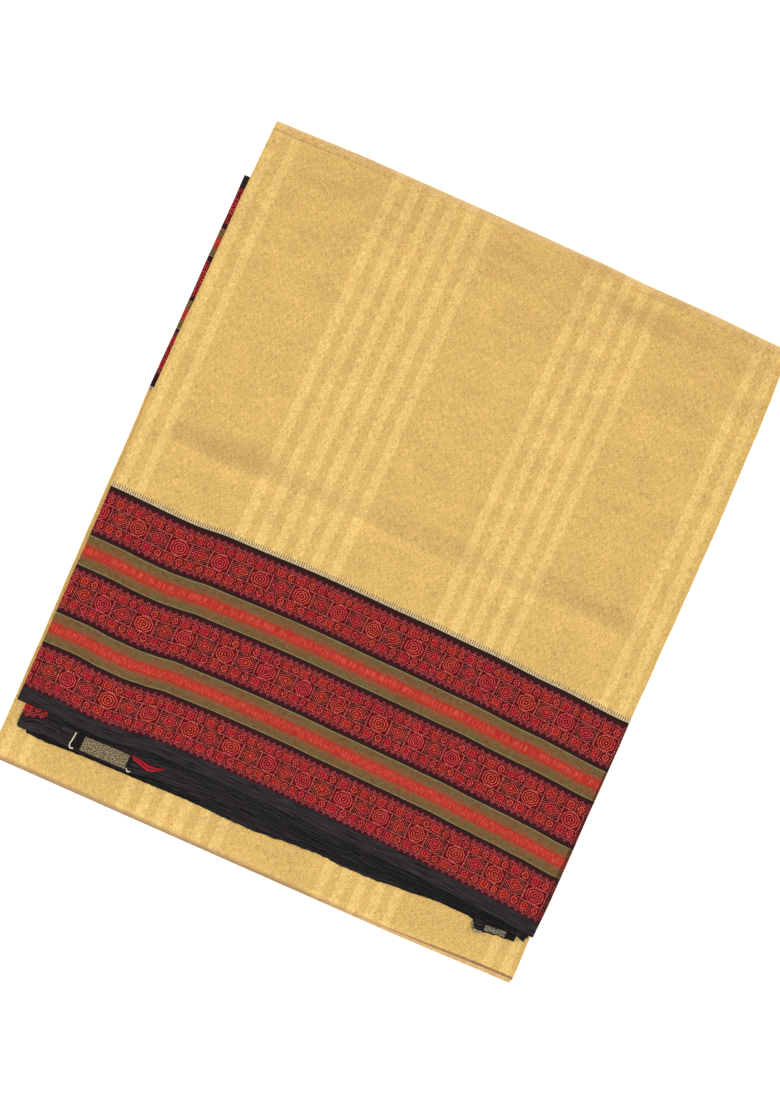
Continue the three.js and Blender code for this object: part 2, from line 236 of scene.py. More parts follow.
# x, and how far the border lies above or below a straight line, in mm
SEAM_HANG = [
    (-171, -0.3), (-118, -1.5), (-90, 0.3), (-30, 1.5), (31, 0.6), (76, -0.3), (122, -2.4),
    (172, -4.9),
]
SELVEDGE_HANG = [
    (-169, 0), (-150, 0.4), (-133, -1.2), (-118, -1.4), (-104, -0.1), (-90, 2.2), (-60, 3.1),
    (-15, 3.0), (20, 2.0), (50, 1.2), (80, 0.4), (108, -1.2), (125, -2.1), (145, -3.4), (170, -5.6),
]
# x, and how far each fold lies inside the packet's length, in mm
TOP_FOLD_IN = [(-172, 1.4), (-105, 0), (-40, 0), (45, 0.6), (80, 1.8), (110, 1.9), (172, 3.4)]
BOTTOM_FOLD_IN = [(90, 0), (172, 1.2)]
TOP_FOLD_FROM = 120 * MM
TOP_FOLD_OVER = 80 * MM
BOTTOM_FOLD_FROM = -196 * MM
BOTTOM_FOLD_OVER = 12 * MM
HANG_START = 150 * MM
SEAM_Y = FRONT_SELVEDGE + BORDER
PAST_SELVEDGE = 1.2
SIDE_WAVER = 0.35 * MM
# the length in metres, and the seed, of the waver along the left and the right side
SIDE_WAVES = ((0.021, 3), (0.024, 8))


def read_table(rows, place, column=1):
    """The value of a table at a place, eased between its entries. Both are in mm in the table."""
    table = np.array(rows) * MM
    keys = table[:, 0]
    low = np.clip(np.searchsorted(keys, place) - 1, 0, len(keys) - 2)
    share = ease((place - keys[low]) / (keys[low + 1] - keys[low]))
    return table[low, column] * (1 - share) + table[low + 1, column] * share


def hang(x, y, s):
    above = ease((HANG_START - y) / (HANG_START - SEAM_Y))
    below = np.clip((SEAM_Y - y) / BORDER, 0, PAST_SELVEDGE)
    seam, selvedge = read_table(SEAM_HANG, x), read_table(SELVEDGE_HANG, x)
    return np.where(s < TOP_CREST, above * (seam + below * (selvedge - seam)), 0)


def fold_in(x, y):
    """How far the folds' unevenness moves a place along y."""
    top = ease((y - TOP_FOLD_FROM) / TOP_FOLD_OVER) * read_table(TOP_FOLD_IN, x)
    return ease((BOTTOM_FOLD_FROM - y) / BOTTOM_FOLD_OVER) * read_table(BOTTOM_FOLD_IN, x) - top


def wander(places, size, seed):
    """A slow, seeded waver along an edge, from -1 to 1."""
    return np.array([noise.noise(Vector((place / size, seed, 0.5))) for place in np.ravel(places)])


def sides(s):
    """The left and the right side of the packet at a distance along the weft."""
    y = np.interp(s, ROUTE_S, ROUTE[:, 0])
    stretch = np.digitize(s, [TOP_CREST, BOTTOM_CREST])
    tables = (FRONT_SIDES, BACK_SIDES, INNER_SIDES)
    left, right = (
        np.choose(stretch, [read_table(table, y, column) for table in tables]) for column in (1, 2)
    )
    wavers = [SIDE_WAVER * wander(s, length, seed) for length, seed in SIDE_WAVES]
    return -HALF_WIDTH - left + wavers[0], HALF_WIDTH + right + wavers[1]


print("the front flap hangs", SEAM_HANG[-1][1], "mm lower at its right")

# %% [markdown]
# ## Soft folds
# Silk that has lain folded keeps shallow troughs where it was pressed. The largest is a ridge just
# above the border, in stretches: it rises softly from below and drops away above.
# Each is a line with a width and a height, which can be moved later, unlike a sculpted mark.

# %% List the troughs and ridges
# y, tilt as a slope, half width, height, from x, to x; the rest in mm
FRONT_FOLDS = [
    (-3.5, 0.01, 6.0, -0.22, -150, 150),
    (38.0, 0.05, 9.0, 0.22, -70, 20),
    (91.0, -0.02, 5.0, -0.16, -150, 30),
    (109.0, 0.015, 4.0, 0.14, -20, 165),
    (117.0, 0.02, 4.0, -0.18, -90, 120),
    (148.5, 0.01, 4.5, -0.22, -168, 10),
    (151.0, -0.01, 6.0, 0.14, 30, 165),
    (178.0, 0.0, 5.0, -0.2, -160, 165),
    (-67.0, 0.05, 11.0, 0.20, -140, -40),
    (-105.0, -0.04, 9.0, -0.16, 10, 120),
]
# y of the crest, how far it rises over, how far it falls over, height, from x, to x
RIDGES = [
    (8.1, 6.0, 9.0, 1.5, -153, -84),
    (8.1, 5.0, 8.0, 0.7, -100, -20),
    (8.1, 5.0, 8.0, 0.9, -24, 44),
    (8.1, 5.0, 7.0, 0.5, 40, 96),
    (13.5, 9.0, 11.0, 1.2, 84, 154),
]
INNER_FOLDS = [
    (-196.0, 0.02, 5.0, -0.2, -160, 20),
    (-188.0, -0.04, 7.0, 0.25, 30, 150),
]
# x, half width, height of the ripples that run down the strip below the fan
STRIP_RIPPLES = [
    (-128, 9, 0.28), (-101, 7, -0.22), (-62, 10, 0.30), (-18, 8, -0.20), (33, 11, 0.26),
    (79, 7, -0.24), (121, 9, 0.2),
]
FADE = 16 * MM
WAVER_HEIGHT = 0.16 * MM
# length in metres of the waver's waves, across and along, and its seed
WAVER_SIZE = (1 / 22, 1 / 30)
WAVER_SEED = 1.7
# roughness of the waver, how much finer each layer is, and how many layers
WAVER_LAYERS = (0.6, 2.1, 3)
DROOP = 0.6 * MM
DROOP_OVER = 9 * MM
SETTLED_OVER = 24 * MM
CALM_OVER = (30 * MM, 14 * MM)


def along(x, start, end):
    """1 between two places in mm, and faded out beyond them."""
    return ease((x - start * MM) / FADE + 0.5) * ease((end * MM - x) / FADE + 0.5)


def folds(rows, x, y):
    total = np.zeros_like(x)
    for fold_y, tilt, half, height, start, end in rows:
        across = np.exp(-(((y - fold_y * MM - tilt * x) / (half * MM)) ** 2))
        total += height * MM * across * along(x, start, end)
    return total


def ridges(x, y):
    total = np.zeros_like(x)
    for crest_y, rise, fall, height, start, end in RIDGES:
        away = y / MM - crest_y
        below = np.exp(-((away / rise) ** 2))
        above = np.exp((1 - np.sqrt(away**2 + 1)) / fall)
        across = np.where(away < 0, below, above)
        total = np.maximum(total, height * MM * across * along(x, start, end))
    return total


def ripples(x):
    total = np.zeros_like(x)
    for place, half, height in STRIP_RIPPLES:
        total += height * MM * np.exp(-(((x / MM - place) / half) ** 2))
    return total


def waver(x, s):
    across, along_weft = (np.ravel(place / size) for place, size in zip((x, s), WAVER_SIZE))
    spots = (Vector((u, v, WAVER_SEED)) for u, v in zip(across, along_weft))
    return WAVER_HEIGHT * np.reshape([noise.fractal(spot, *WAVER_LAYERS) for spot in spots], x.shape)


def relief(x, y, s):
    """How far the cloth stands out of its route: up on the flaps, and only inwards underneath."""
    level = waver(x, s)
    front = folds(FRONT_FOLDS, x, y) + ridges(x, y) + level
    inner = folds(INNER_FOLDS, x, y) + ripples(x) + level
    under = -abs(level)
    settled = ease((y - FRONT_SELVEDGE) / SETTLED_OVER)
    droop = DROOP * (1 - ease((y - FRONT_SELVEDGE) / DROOP_OVER))
    stretch = np.digitize(s, [TOP_CREST, BOTTOM_CREST])
    crests = zip((TOP_CREST, BOTTOM_CREST), CALM_OVER)
    calm = math.prod(ease(abs(s - crest) / over) for crest, over in crests)
    return np.choose(stretch, [front * settled - droop, under, inner]) * calm


print(len(FRONT_FOLDS) + len(RIDGES) + len(INNER_FOLDS), "soft folds are placed")

# %% [markdown]
# ## Laying a sheet
# Every sheet starts as a flat grid. Its points are moved to where the cloth lies, and its map keeps
# the flat place of every point, in metres, for the weave. Along the border the map counts the
# uneven repeats of the pattern. At both sides the sheet rolls under, as a folded ply does, and a
# Solidify modifier gives it the thickness of silk.
# Bend modifiers could turn the folds as well, but they can't follow the uneven hang.

# %% Lay a grid of threads over the route
SILK = 0.28 * MM
SIDE_ROLL = 0.36 * MM
TUCK = 2.0 * MM
ROLL_STEPS = 5
COLUMNS = 92
NEAR_FOLD = 15 * MM
GROOVE_DEPTH = (0.5 * MM, 2.4 * MM)
GROOVE_ANGLE = 28
GROOVE_HALF = 16
SMOOTH_ANGLE = math.radians(50)
REPEAT = 26 * MM
# x where each repeat of the border starts, in mm
REPEAT_STARTS = [-164.5, -139.5, -111.2, -85.6, -59, -31.6, -7.7]
REPEAT_STARTS += [15.4, 43.7, 67.7, 91.9, 119.2, 145.8, 173.6]
LEAN = 0.02  # how far the repeats lean to the left towards the selvedge
# distance from the selvedge on the inner border, and the same place on the even chart, in mm
INNER_BEAT = [(0, 0), (7, 9.1), (45.8, 48.8), (93.7, 99.9), (133.3, 139.3), (140.8, 142), (150, 151.2)]


def repeats(x, s):
    """Distance along the border as the weaver counts it, from the first repeat."""
    across = x + LEAN * (BORDER - s)
    starts = np.array(REPEAT_STARTS) * MM
    counted = np.interp(across, starts, np.arange(len(starts)) * REPEAT)
    return counted + np.minimum(across - starts[0], 0) + np.maximum(across - starts[-1], 0)


def groove(y, z):
    """How much of the groove between the bottom fold's two lips falls on a place of the route."""
    angle = np.degrees(np.arctan2(z - ROLL_RADIUS, -(y + ROLL_Y)))
    return np.where(y < -ROLL_Y, np.exp(-(((angle - GROOVE_ANGLE) / GROOVE_HALF) ** 2)), 0)


def lay(x, s, inward=0.0):
    """The place in the packet of a thread at x and s, so far inside the outer ply."""
    y, z = (np.interp(s, ROUTE_S, ROUTE[:, i]) for i in (0, 1))
    out_y, out_z = (np.interp(s, ROUTE_S, ROUTE_OUT[:, i]) for i in (0, 1))
    reach = np.clip(1 - inward / ROLL_RADIUS, 0, 1)
    sunk = np.interp(x, (-HALF_WIDTH, HALF_WIDTH), GROOVE_DEPTH) * groove(y, z) * reach
    out = relief(x, y, s) - sunk - inward
    moved = y + out_y * out + hang(x, y, s) + fold_in(x, y)
    return np.stack([x, moved, z + out_z * out], axis=-1)


def side_roll(past):
    """Past the start of the roll: how far out the cloth lies, and how far below."""
    angle = np.minimum(past / SIDE_ROLL, math.pi)
    tucked = np.maximum(past - math.pi * SIDE_ROLL, 0)
    return SIDE_ROLL * np.sin(angle) - tucked, SIDE_ROLL * (1 - np.cos(angle))


def fold_sheet(points, uvs, name, thickness=SILK):
    """A flat grid, woven as uvs, then moved to points, and made as thick as the cloth."""
    rows, columns = points.shape[:2]
    bpy.ops.mesh.primitive_grid_add(x_subdivisions=columns - 1, y_subdivisions=rows - 1, size=1)
    sheet = bpy.context.object
    sheet.name = sheet.data.name = name
    sheet.data.vertices.foreach_set("co", points.reshape(-1).astype(np.float32))
    corners = np.empty(len(sheet.data.loops), dtype=np.int32)
    sheet.data.loops.foreach_get("vertex_index", corners)
    threads = sheet.data.uv_layers[0]
    threads.name = "threads"
    threads.data.foreach_set("uv", uvs.reshape(-1, 2)[corners].reshape(-1).astype(np.float32))
    sheet.data.update()
    if thickness:
        wall = sheet.modifiers.new("thickness of silk", "SOLIDIFY")
        wall.thickness = thickness
        wall.offset = -1
        bpy.ops.object.modifier_apply(modifier=wall.name)
    bpy.ops.object.shade_smooth_by_angle(angle=SMOOTH_ANGLE)
    deselect()
    return sheet


def weft_marks(start, end, coarse=4 * MM, fine=1.1 * MM):
    """Distances along the weft: close together at the folds and the ridge, and wider elsewhere."""
    marks = [start]
    while marks[-1] < end:
        near = min(abs(marks[-1] - place) for place in (TOP_CREST, BOTTOM_CREST, RIDGE_CREST))
        marks.append(marks[-1] + (fine if near < NEAR_FOLD else coarse))
    marks[-1] = end
    return np.array(marks)


def wrapped_sheet(name, start, end, is_border=False):
    """The outer ply between two distances along the weft, rolled under at both sides."""
    s = weft_marks(start, end)[:, None]
    left, right = (side[:, None] for side in sides(s[:, 0]))
    rolled = np.linspace(0, math.pi * SIDE_ROLL, ROLL_STEPS)
    rolled = np.append(rolled, math.pi * SIDE_ROLL + TUCK)[1:]
    past = np.concatenate([rolled[::-1], np.zeros(COLUMNS + 1), rolled])[None, :]
    share = np.pad(np.linspace(0, 1, COLUMNS + 1), ROLL_STEPS, mode="edge")[None, :]
    facing = np.sign(share - 0.5)
    base = (left + SIDE_ROLL) * (1 - share) + (right - SIDE_ROLL) * share
    out, below = side_roll(past)
    woven = s + 0 * base
    places = lay(base, woven, below + 0 * base)
    places[..., 0] = base + facing * out
    across = base + facing * past
    if is_border:
        across = repeats(across, np.minimum(s, CLOTH_WIDTH - s))
    if is_border and start > BORDER:
        place, even = np.array(INNER_BEAT).T * MM
        woven = CLOTH_WIDTH - np.interp(CLOTH_WIDTH - woven, place, even)
    threads = np.stack([across, woven], axis=-1)
    sheet = fold_sheet(places, threads, name)
    flat = (2 * (HALF_WIDTH - SIDE_ROLL + rolled[-1]), end - start)
    return sheet, flat


INNER_SEAM = CLOTH_WIDTH - BORDER
ground, ground_flat = wrapped_sheet("ground_cloth", BORDER, INNER_SEAM)
front_border, border_flat = wrapped_sheet("front_border_cloth", 0, BORDER, is_border=True)
inner_border, _ = wrapped_sheet("inner_border_cloth", INNER_SEAM, CLOTH_WIDTH, is_border=True)
for piece in (ground, front_border, inner_border):
    print(piece.name, "has", len(piece.data.polygons), "faces")

# %% [markdown]
# ## The folded edges inside
# Of the plies inside only their folded edges show, at the two sides. One solid follows the letter
# fold, and each edge is a rounded ridge on it with its own reach.
# A sheet for every ply would look no different and cost far more faces.

# %% Stack the folded edges
EDGES = 8
EDGE_STEPS = 4
EDGE_DEPTH = 0.75 * MM
STRIP = 5.2 * MM
STRIP_TOP = 1.3 * MM
STRIP_INSET = 0.6 * MM
STRIP_UNEVEN = 0.9 * MM
FAN_ROOT = 26.3 * MM
EDGE_GAP = 0.3 * MM
EDGE_STEP = 3 * MM
EDGE_WAVES = 0.05
MERGE = 0.01 * MM
# how far the pattern shifts from one edge to the next
EDGE_SHIFT = 7 * MM


def edge_profile():
    """Depth below the strip's top, how far the edge is cut in there, and which edge it is."""
    marks = np.arange(EDGES * EDGE_STEPS + 1) / EDGE_STEPS
    turn_share = (marks % 1) * 2 - 1
    cut = EDGE_DEPTH * (1 - np.sqrt(1 - turn_share**2))
    return marks / EDGES * STRIP, cut, np.minimum(marks.astype(int), EDGES - 1)


def stacked_edges(name):
    s = weft_marks(FAN_ROOT, CLOTH_WIDTH - EDGE_GAP, coarse=EDGE_STEP)[:, None]
    left, right = sides(s[:, 0])
    depth, cut, edge = edge_profile()
    rings, threads = [], []
    for facing, side, order in ((1, right, slice(None)), (-1, left, slice(None, None, -1))):
        reach = np.array([wander(s[:, 0], EDGE_WAVES, 10 * facing + 2.3 * k) for k in range(EDGES)])
        uneven = STRIP_UNEVEN * (0.5 + 0.5 * reach[edge[order]].T)
        x = side[:, None] - facing * (STRIP_INSET + cut[order][None, :] + uneven)
        rings.append(lay(x, s + 0 * x, STRIP_TOP + depth[order][None, :] + 0 * x))
        threads.append(np.stack([x + facing * EDGE_SHIFT * edge[order][None, :], s + 0 * x], axis=-1))
    places, uvs = (np.concatenate([*parts, parts[0][:, :1]], axis=1) for parts in (rings, threads))
    stack = fold_sheet(places, uvs, name, thickness=0)
    stack.select_set(True)
    bpy.ops.object.mode_set(mode="EDIT")
    bpy.ops.mesh.select_all(action="SELECT")
    bpy.ops.mesh.remove_doubles(threshold=MERGE)
    bpy.ops.mesh.select_all(action="DESELECT")
    bpy.ops.mesh.select_non_manifold()
    bpy.ops.mesh.edge_face_add()
    bpy.ops.mesh.select_all(action="SELECT")
    bpy.ops.mesh.normals_make_consistent(inside=False)
    bpy.ops.object.mode_set(mode="OBJECT")
    deselect()
    return stack


stack = stacked_edges("folded_edges")
print(stack.name, "has", len(stack.data.polygons), "faces")

# %% [markdown]
# ## The fan of selvedges
# Below the front flap the plies have slipped, so their black selvedges show one under the other.
# Each of the four solids stands for three plies. Every ply is a thin sheet with its own ends and
# its own frayed edge, and the border's red shows where a ply has slipped far enough.
# Plies drawn on one sheet would be simpler, but they would throw no shadow on each other.

# %% Slip twelve plies out from under the front flap
PLY_PITCH = 1.3 * MM
SHEETS = 3
SHEET_PITCH = 0.36 * MM
SHEET_THICK = 0.2 * MM
FAN_COLUMNS = 340
FAN_ROWS = 9
FAN_CROWDING = 0.8
# height of each waver, and the length of its waves in metres
FRAYS = ((0.34 * MM, 0.0018), (0.238 * MM, 0.009))
EDGE_WAVER = (0.4 * MM, 0.03)
FAN_WAVES = (0.24 * MM, 0.02)
PLY_WAVES = (0.04 * MM, 0.012)
# how much the plies' left and right ends differ, in mm
UNEVEN_ENDS = (0.5, 0.4)
# how far the pattern shifts from one ply to the next
PLY_SHIFT = 17 * MM
# the solid, and its edge from left to right as x and y in mm
FAN = [
    ("selvedge_ply_1", [
        (-150.5, -177.9), (-110, -176.9), (-70, -174.1), (-30, -175.3), (0, -176.1), (30, -177.6),
        (60, -176.5), (100, -177.7), (130, -178.6), (150, -179.9), (171, -182),
    ]),
    ("selvedge_ply_2", [
        (-139.4, -188.9), (-95, -188.3), (-70, -185), (-40, -181), (0, -180), (40, -180.4), (80, -180),
        (120, -180.6), (145, -181.6), (167, -183.4),
    ]),
    ("selvedge_ply_3", [
        (-165.4, -189.6), (-140, -190.2), (-100, -189.3), (-60, -187.2), (-20, -185.2), (20, -184),
        (60, -184), (100, -182.6), (145, -183.2), (163, -183.6), (170.2, -185.1),
    ]),
    ("selvedge_ply_4", [
        (-159, -191.4), (-146, -191.9), (-130, -190.7), (-84, -189.9), (-54, -189.1), (-30, -189.8),
        (-8, -190), (3, -189.3), (12, -188.3), (35, -186.8), (48, -187.7), (70, -187.6), (90, -185.8),
        (115, -183.9), (132, -184.1), (135.6, -184.6), (138.6, -189.8), (144, -190), (149, -188.9),
        (158, -188), (164.5, -187.3),
    ]),
]
# x, how wide and how long the torn threads are at the right corner, in mm
JAGS = [(161, 0.8, 1.2), (163.8, 0.6, 1.7), (166.2, 0.9, 1.4), (168.6, 0.5, 1.0)]
CORNER_PLY = 2
# x, and how far the red lies above its usual place at the corner of that solid's plies, in mm
CORNER_RED = [(-165, -2.9), (-152, 0.0), (-148, 5), (-139, 5), (-134, 0)]
PLAIN_EDGE = 1.5 * MM


def waves(x, height_and_length, seed):
    height, length = height_and_length
    return height * wander(x, length, seed)


def frayed(x, seed):
    fine = waves(x, FRAYS[0], seed) + waves(x, FRAYS[1], seed + 5)
    torn = sum(length * MM * np.exp(-(((x - at * MM) / (wide * MM)) ** 2)) for at, wide, length in JAGS)
    return fine - torn * (0.5 + 0.5 * math.sin(seed * 2.1))


def selvedge_sheet(index, count, above, here):
    share = (count + 1) / SHEETS
    seed = SHEETS * index + count
    left = here[0][0] + UNEVEN_ENDS[0] * math.sin(seed * 1.9)
    right = here[-1][0] - UNEVEN_ENDS[1] * (1 + math.sin(seed * 2.7))
    x = np.linspace(left, right, FAN_COLUMNS) * MM
    edge_above = read_table(above, x) if above else FRONT_SELVEDGE + hang(x, FRONT_SELVEDGE, 0 * x)
    edge = edge_above + share * (read_table(here, x) - edge_above)
    edge += waves(x, EDGE_WAVER, seed + 30) * (count < SHEETS - 1) - frayed(x, seed)
    rows = np.linspace(0, 1, FAN_ROWS)[:, None] ** FAN_CROWDING
    root = FRONT_SELVEDGE + FAN_ROOT
    y = root + rows * (edge - root)[None, :]
    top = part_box("selvedge_ply_1")[1].z - index * PLY_PITCH - count * SHEET_PITCH
    rise = waves(x, FAN_WAVES, 60) + waves(x, PLY_WAVES, seed + 60) - FAN_WAVES[0] / 2
    grid_x = x[None, :] + 0 * y
    points = np.stack([grid_x, y, top + rise[None, :] * rows], axis=-1)
    lift = read_table(CORNER_RED, x)[None, :] * (index == CORNER_PLY)
    from_edge = y - edge[None, :]
    from_edge = np.maximum(from_edge - lift, np.minimum(from_edge, PLAIN_EDGE))
    threads = np.stack([grid_x + PLY_SHIFT * seed, from_edge], axis=-1)
    sheet = fold_sheet(points[::-1], threads[::-1], f"selvedge_{seed + 1:02d}", SHEET_THICK)
    return sheet, ((right - left) * MM, float(np.mean(root - edge)))


fan = []
for index, (node, here) in enumerate(FAN):
    for count in range(SHEETS):
        above = FAN[index - 1][1] if index else None
        fan.append((node, *selvedge_sheet(index, count, above, here)))
print("the fan has", len(fan), "sheets")

# %% [markdown]
# ## Formulas for the weave
# A woven pattern is arithmetic on thread numbers. Math nodes can do it, and this class lets a
# formula such as abs(x) < 3 add the nodes by itself.
# Nodes could be placed by hand, but hundreds of them are hard to read and to correct.

# %% Write node formulas as plain arithmetic
LIT = 1.08  # how strongly the studio lights a surface that faces the camera
# spots of unevenness in cloth: their size along x and s in mm, their seed and their detail
SPOTS = {
    "warp slub": (3.0, 0.38, 1, 1),
    "weft slub": (0.38, 3.6, 2, 1),
    "clouds": (16, 24, 3, 3),
    "drift": (60, 90, 4, 1),
    "grain": (0.4, 0.4, 5, 1),
    "top patches": (38, 13, 6, 2),
    "levels": (45, 9, 7, 1),
    "comb places": (2.4, 40, 9, 1),
    "comb reach": (2.2, 40, 10, 1),
    "border warp": (3.4, 0.8, 21, 1),
    "border weft": (0.8, 3.0, 22, 1),
    "border clouds": (18, 18, 23, 2),
    "mottle": (6, 2.6, 24, 3),
    "ticks": (0.55, 7, 25, 1),
    "streaks": (5, 40, 26, 1),
    "hue": (13, 11, 27, 2),
    "beads": (0.7, 0.7, 28, 1),
    "long dashes": (16, 0.7, 29, 1),
    "rough": (0.7, 0.7, 30, 1),
    "tab": (0.8, 0.8, 31, 1),
    "patches": (2.4, 1.3, 32, 2),
    "crescent": (1.3, 1.6, 41, 1),
}


def dye(red, green, blue):
    """The colour of the cloth itself where the lit cloth shows this screen colour."""
    screen = np.array([red, green, blue]) / 255
    linear = np.where(screen < 0.04045, screen / 12.92, ((screen + 0.055) / 1.055) ** 2.4)
    return (*(linear / LIT), 1)


class Thread:
    """A number that varies over the cloth, kept as the socket that gives it."""

    def __init__(self, tree, socket):
        self.tree, self.socket = tree, socket

    def math(self, operation, *others):
        node = self.tree.nodes.new("ShaderNodeMath")
        node.operation = operation
        for slot, value in zip(node.inputs, (self, *others)):
            plug(self.tree, value, slot)
        return Thread(self.tree, node.outputs[0])

    def within(self, low, high):
        """1 between two numbers, and 0 elsewhere."""
        return (self > low) & (self < high)

    def among(self, ranges):
        """1 within any of some ranges, and 0 elsewhere."""
        first, *others = (self.within(low, high) for low, high in ranges)
        for other in others:
            first = first | other
        return first

    def pick(self, share, other):
        """This number where share is 1, and the other one where it is 0."""
        return self * share + other * (-share + 1)

    def fade(self, start, end):
        """0 before start, 1 after end, and eased between them."""
        node = self.tree.nodes.new("ShaderNodeMapRange")
        node.interpolation_type = "SMOOTHSTEP"
        for name, value in (("Value", self), ("From Min", start), ("From Max", end)):
            plug(self.tree, value, node.inputs[name])
        return Thread(self.tree, node.outputs["Result"])


def operator(operation, *fixed):
    def apply(thread, *others):
        return thread.math(operation, *others, *fixed)

    return apply


OPERATORS = {"__add__": "ADD", "__sub__": "SUBTRACT", "__mul__": "MULTIPLY", "__truediv__": "DIVIDE"}
OPERATORS |= {"__lt__": "LESS_THAN", "__gt__": "GREATER_THAN", "__and__": "MULTIPLY", "__or__": "MAXIMUM"}
OPERATORS |= {"__abs__": "ABSOLUTE", "floor": "FLOOR", "fract": "FRACT"}
OPERATORS |= {"least": "MINIMUM", "most": "MAXIMUM"}
for method, operation in OPERATORS.items():
    setattr(Thread, method, operator(operation))
Thread.__neg__ = operator("MULTIPLY", -1)


def plug(tree, value, slot):
    """Sets a socket, or links it where the value varies."""
    if isinstance(value, Thread):
        tree.links.new(value.socket, slot)
    else:
        slot.default_value = value


def speckle(x, y, kind):
    """Seeded spots of one kind, from about 0 to 1."""
    tree = x.tree
    size_x, size_y, seed, detail = SPOTS[kind]
    place = tree.nodes.new("ShaderNodeCombineXYZ")
    for slot, value in zip(place.inputs, (x / size_x, y / size_y, seed)):
        plug(tree, value, slot)
    node = tree.nodes.new("ShaderNodeTexNoise")
    node.inputs["Scale"].default_value = 1
    node.inputs["Detail"].default_value = detail
    tree.links.new(place.outputs[0], node.inputs["Vector"])
    return Thread(tree, node.outputs["Fac"])


def slubs(x, y, amounts):
    """Each kind of spots, from about -0.5 to 0.5, and their sum in these amounts."""
    spots = {kind: speckle(x, y, kind) - 0.5 for kind in amounts}
    first, *others = (spots[kind] * amount for kind, amount in amounts.items())
    return spots, sum(others, first)


def dyed(share, under, over):
    """One colour over another: share 0 shows the one under, and 1 the one over."""
    tree = share.tree
    node = tree.nodes.new("ShaderNodeMix")
    node.data_type = "RGBA"
    colours = [slot for slot in node.inputs if slot.type == "RGBA"]
    plug(tree, share, node.inputs[0])
    plug(tree, under, colours[0])
    plug(tree, over, colours[1])
    return Thread(tree, next(slot for slot in node.outputs if slot.type == "RGBA"))


def layered(colour, *layers):
    """Colours laid over one another; each layer is where it shows, and its dye."""
    for share, over in layers:
        colour = dyed(share, colour, over)
    return colour


def shaded(colour, amount):
    """A colour made darker or lighter by a number near 1."""
    tree = amount.tree
    node = tree.nodes.new("ShaderNodeVectorMath")
    node.operation = "SCALE"
    plug(tree, colour, node.inputs[0])
    plug(tree, amount, node.inputs["Scale"])
    return Thread(tree, node.outputs[0])


CLOTH_OUTPUTS = {"Color": "NodeSocketColor", "Height": "NodeSocketFloat", "Roughness": "NodeSocketFloat"}


def new_weave(name):
    """An empty node group that reads the cloth's threads, in mm, and puts out a cloth's looks."""
    tree = bpy.data.node_groups.new(name, "ShaderNodeTree")
    tree.interface.new_socket("Threads", in_out="INPUT", socket_type="NodeSocketVector")
    for output, kind in CLOTH_OUTPUTS.items():
        tree.interface.new_socket(output, in_out="OUTPUT", socket_type=kind)
    start = tree.nodes.new("NodeGroupInput")
    split = tree.nodes.new("ShaderNodeSeparateXYZ")
    tree.links.new(start.outputs[0], split.inputs[0])
    x, s = (Thread(tree, split.outputs[i]) * (1 / MM) for i in (0, 1))
    return tree, x, s


def finish_weave(tree, **values):
    end = tree.nodes.new("NodeGroupOutput")
    for name, value in values.items():
        plug(tree, value, end.inputs[name])
    return tree


print("formulas are ready")

# %% [markdown]
# ## The gold ground
# The ground is a plain weave of slubby silk, which shows as short dashes both ways, with stripes of
# lighter weft. Brownish patches lie near the top fold, and next to the border two warps interlock.
# The folds' light and shade are painted into the colour: a lighter crest and a shade line at the top
# fold, shade on the bottom fold's lips, and painted shade and highlight on either side of the ridge.
# A picture could hold all this, but a formula stays sharp from near by and runs round the folds.

# %% Weave the gold ground
THREAD = 0.42  # mm from thread to thread
# first stripe's start, pitch, number and width of each group of stripes, in mm
STRIPE_GROUPS = [
    (-169.6, 12.3, 2, 5.8),
    (-91.3, 12.38, 6, 6.4),
    (40.0, 11.3, 5, 5.8),
    (152.0, 11.8, 2, 6.1),
]
# painted shade behind the ridge and a painted highlight in front of it: y of the shade's sharp edge,
# its blur, y where it has faded, strength, from x, to x
CREASES = [
    (8.3, 0.7, 31, 1.25, -153, -84),
    (8.3, 0.7, 25, 0.55, -84, -22),
    (8.3, 0.7, 28, 0.8, -22, 42),
    (8.3, 0.7, 22, 0.4, 42, 90),
    (13.0, 4.0, 34, 0.95, 88, 154),
]
# how far a crease fades at its ends, how deep its painted shade reaches, and where its painted highlight
# starts
CREASE_FADE, CREASE_DEEP, CREASE_HIGHLIGHT = 5, 7, (8, 4)
GOLD_SLUB = {"warp slub": 1.1, "weft slub": 1.1, "grain": 1.0, "clouds": 0.26, "levels": 0.2}
# a stripe's near edge starts and is full, and half the blur of its far edge, in mm
STRIPE_EDGES = (-0.1, 0.5, 0.3)
# where a mark starts to show and where it is full, as x or as distance from a fold, in mm
CREST_BAND = (9.4, 7.9)
CREST_LINE_BLUR = (0.9, 0.2)
LINE_BY_LEFT = (-70, -165)
LIP_BAND = (9.0, 5.0)
LIP_BLUR = (1.4, 0.4)
RIGHT_PART = (10, 165)
PATCH_REACH = (110, 25)
PATCH_SPOTS = (0.46, 0.66)  # the same, as the strength of a spot
# distances from a fold, and the comb's from the selvedge, in mm
CREST_LINE, LIP_REACH, LIP_FAR = 10.1, 4.0, -9
COMB_LINE, COMB_TOP, COMB_PITCH = 142.9, 145.2, 1.5
# how strongly each mark shows, from 0 to 1
STRONG = {"stripe": 0.95, "crest": 0.5, "tan": 0.7, "top patches": 0.5, "crease": 0.5}
STRONG |= {"tick": 0.4, "white": 0.75, "gap": 0.9}
GOLD = dye(222, 182, 104)
STRIPE_GOLD = dye(236, 197, 118)
# painted shade along the top fold's edge
FOLD_SHADE = dye(196, 150, 96)
# painted shade on the bottom fold's lips: a brown line and a paler tan
LIP_SHADE = dye(150, 114, 74)
LOWER_LIP_SHADE = dye(204, 164, 122)
TOP_PATCH_BROWN = dye(210, 165, 98)
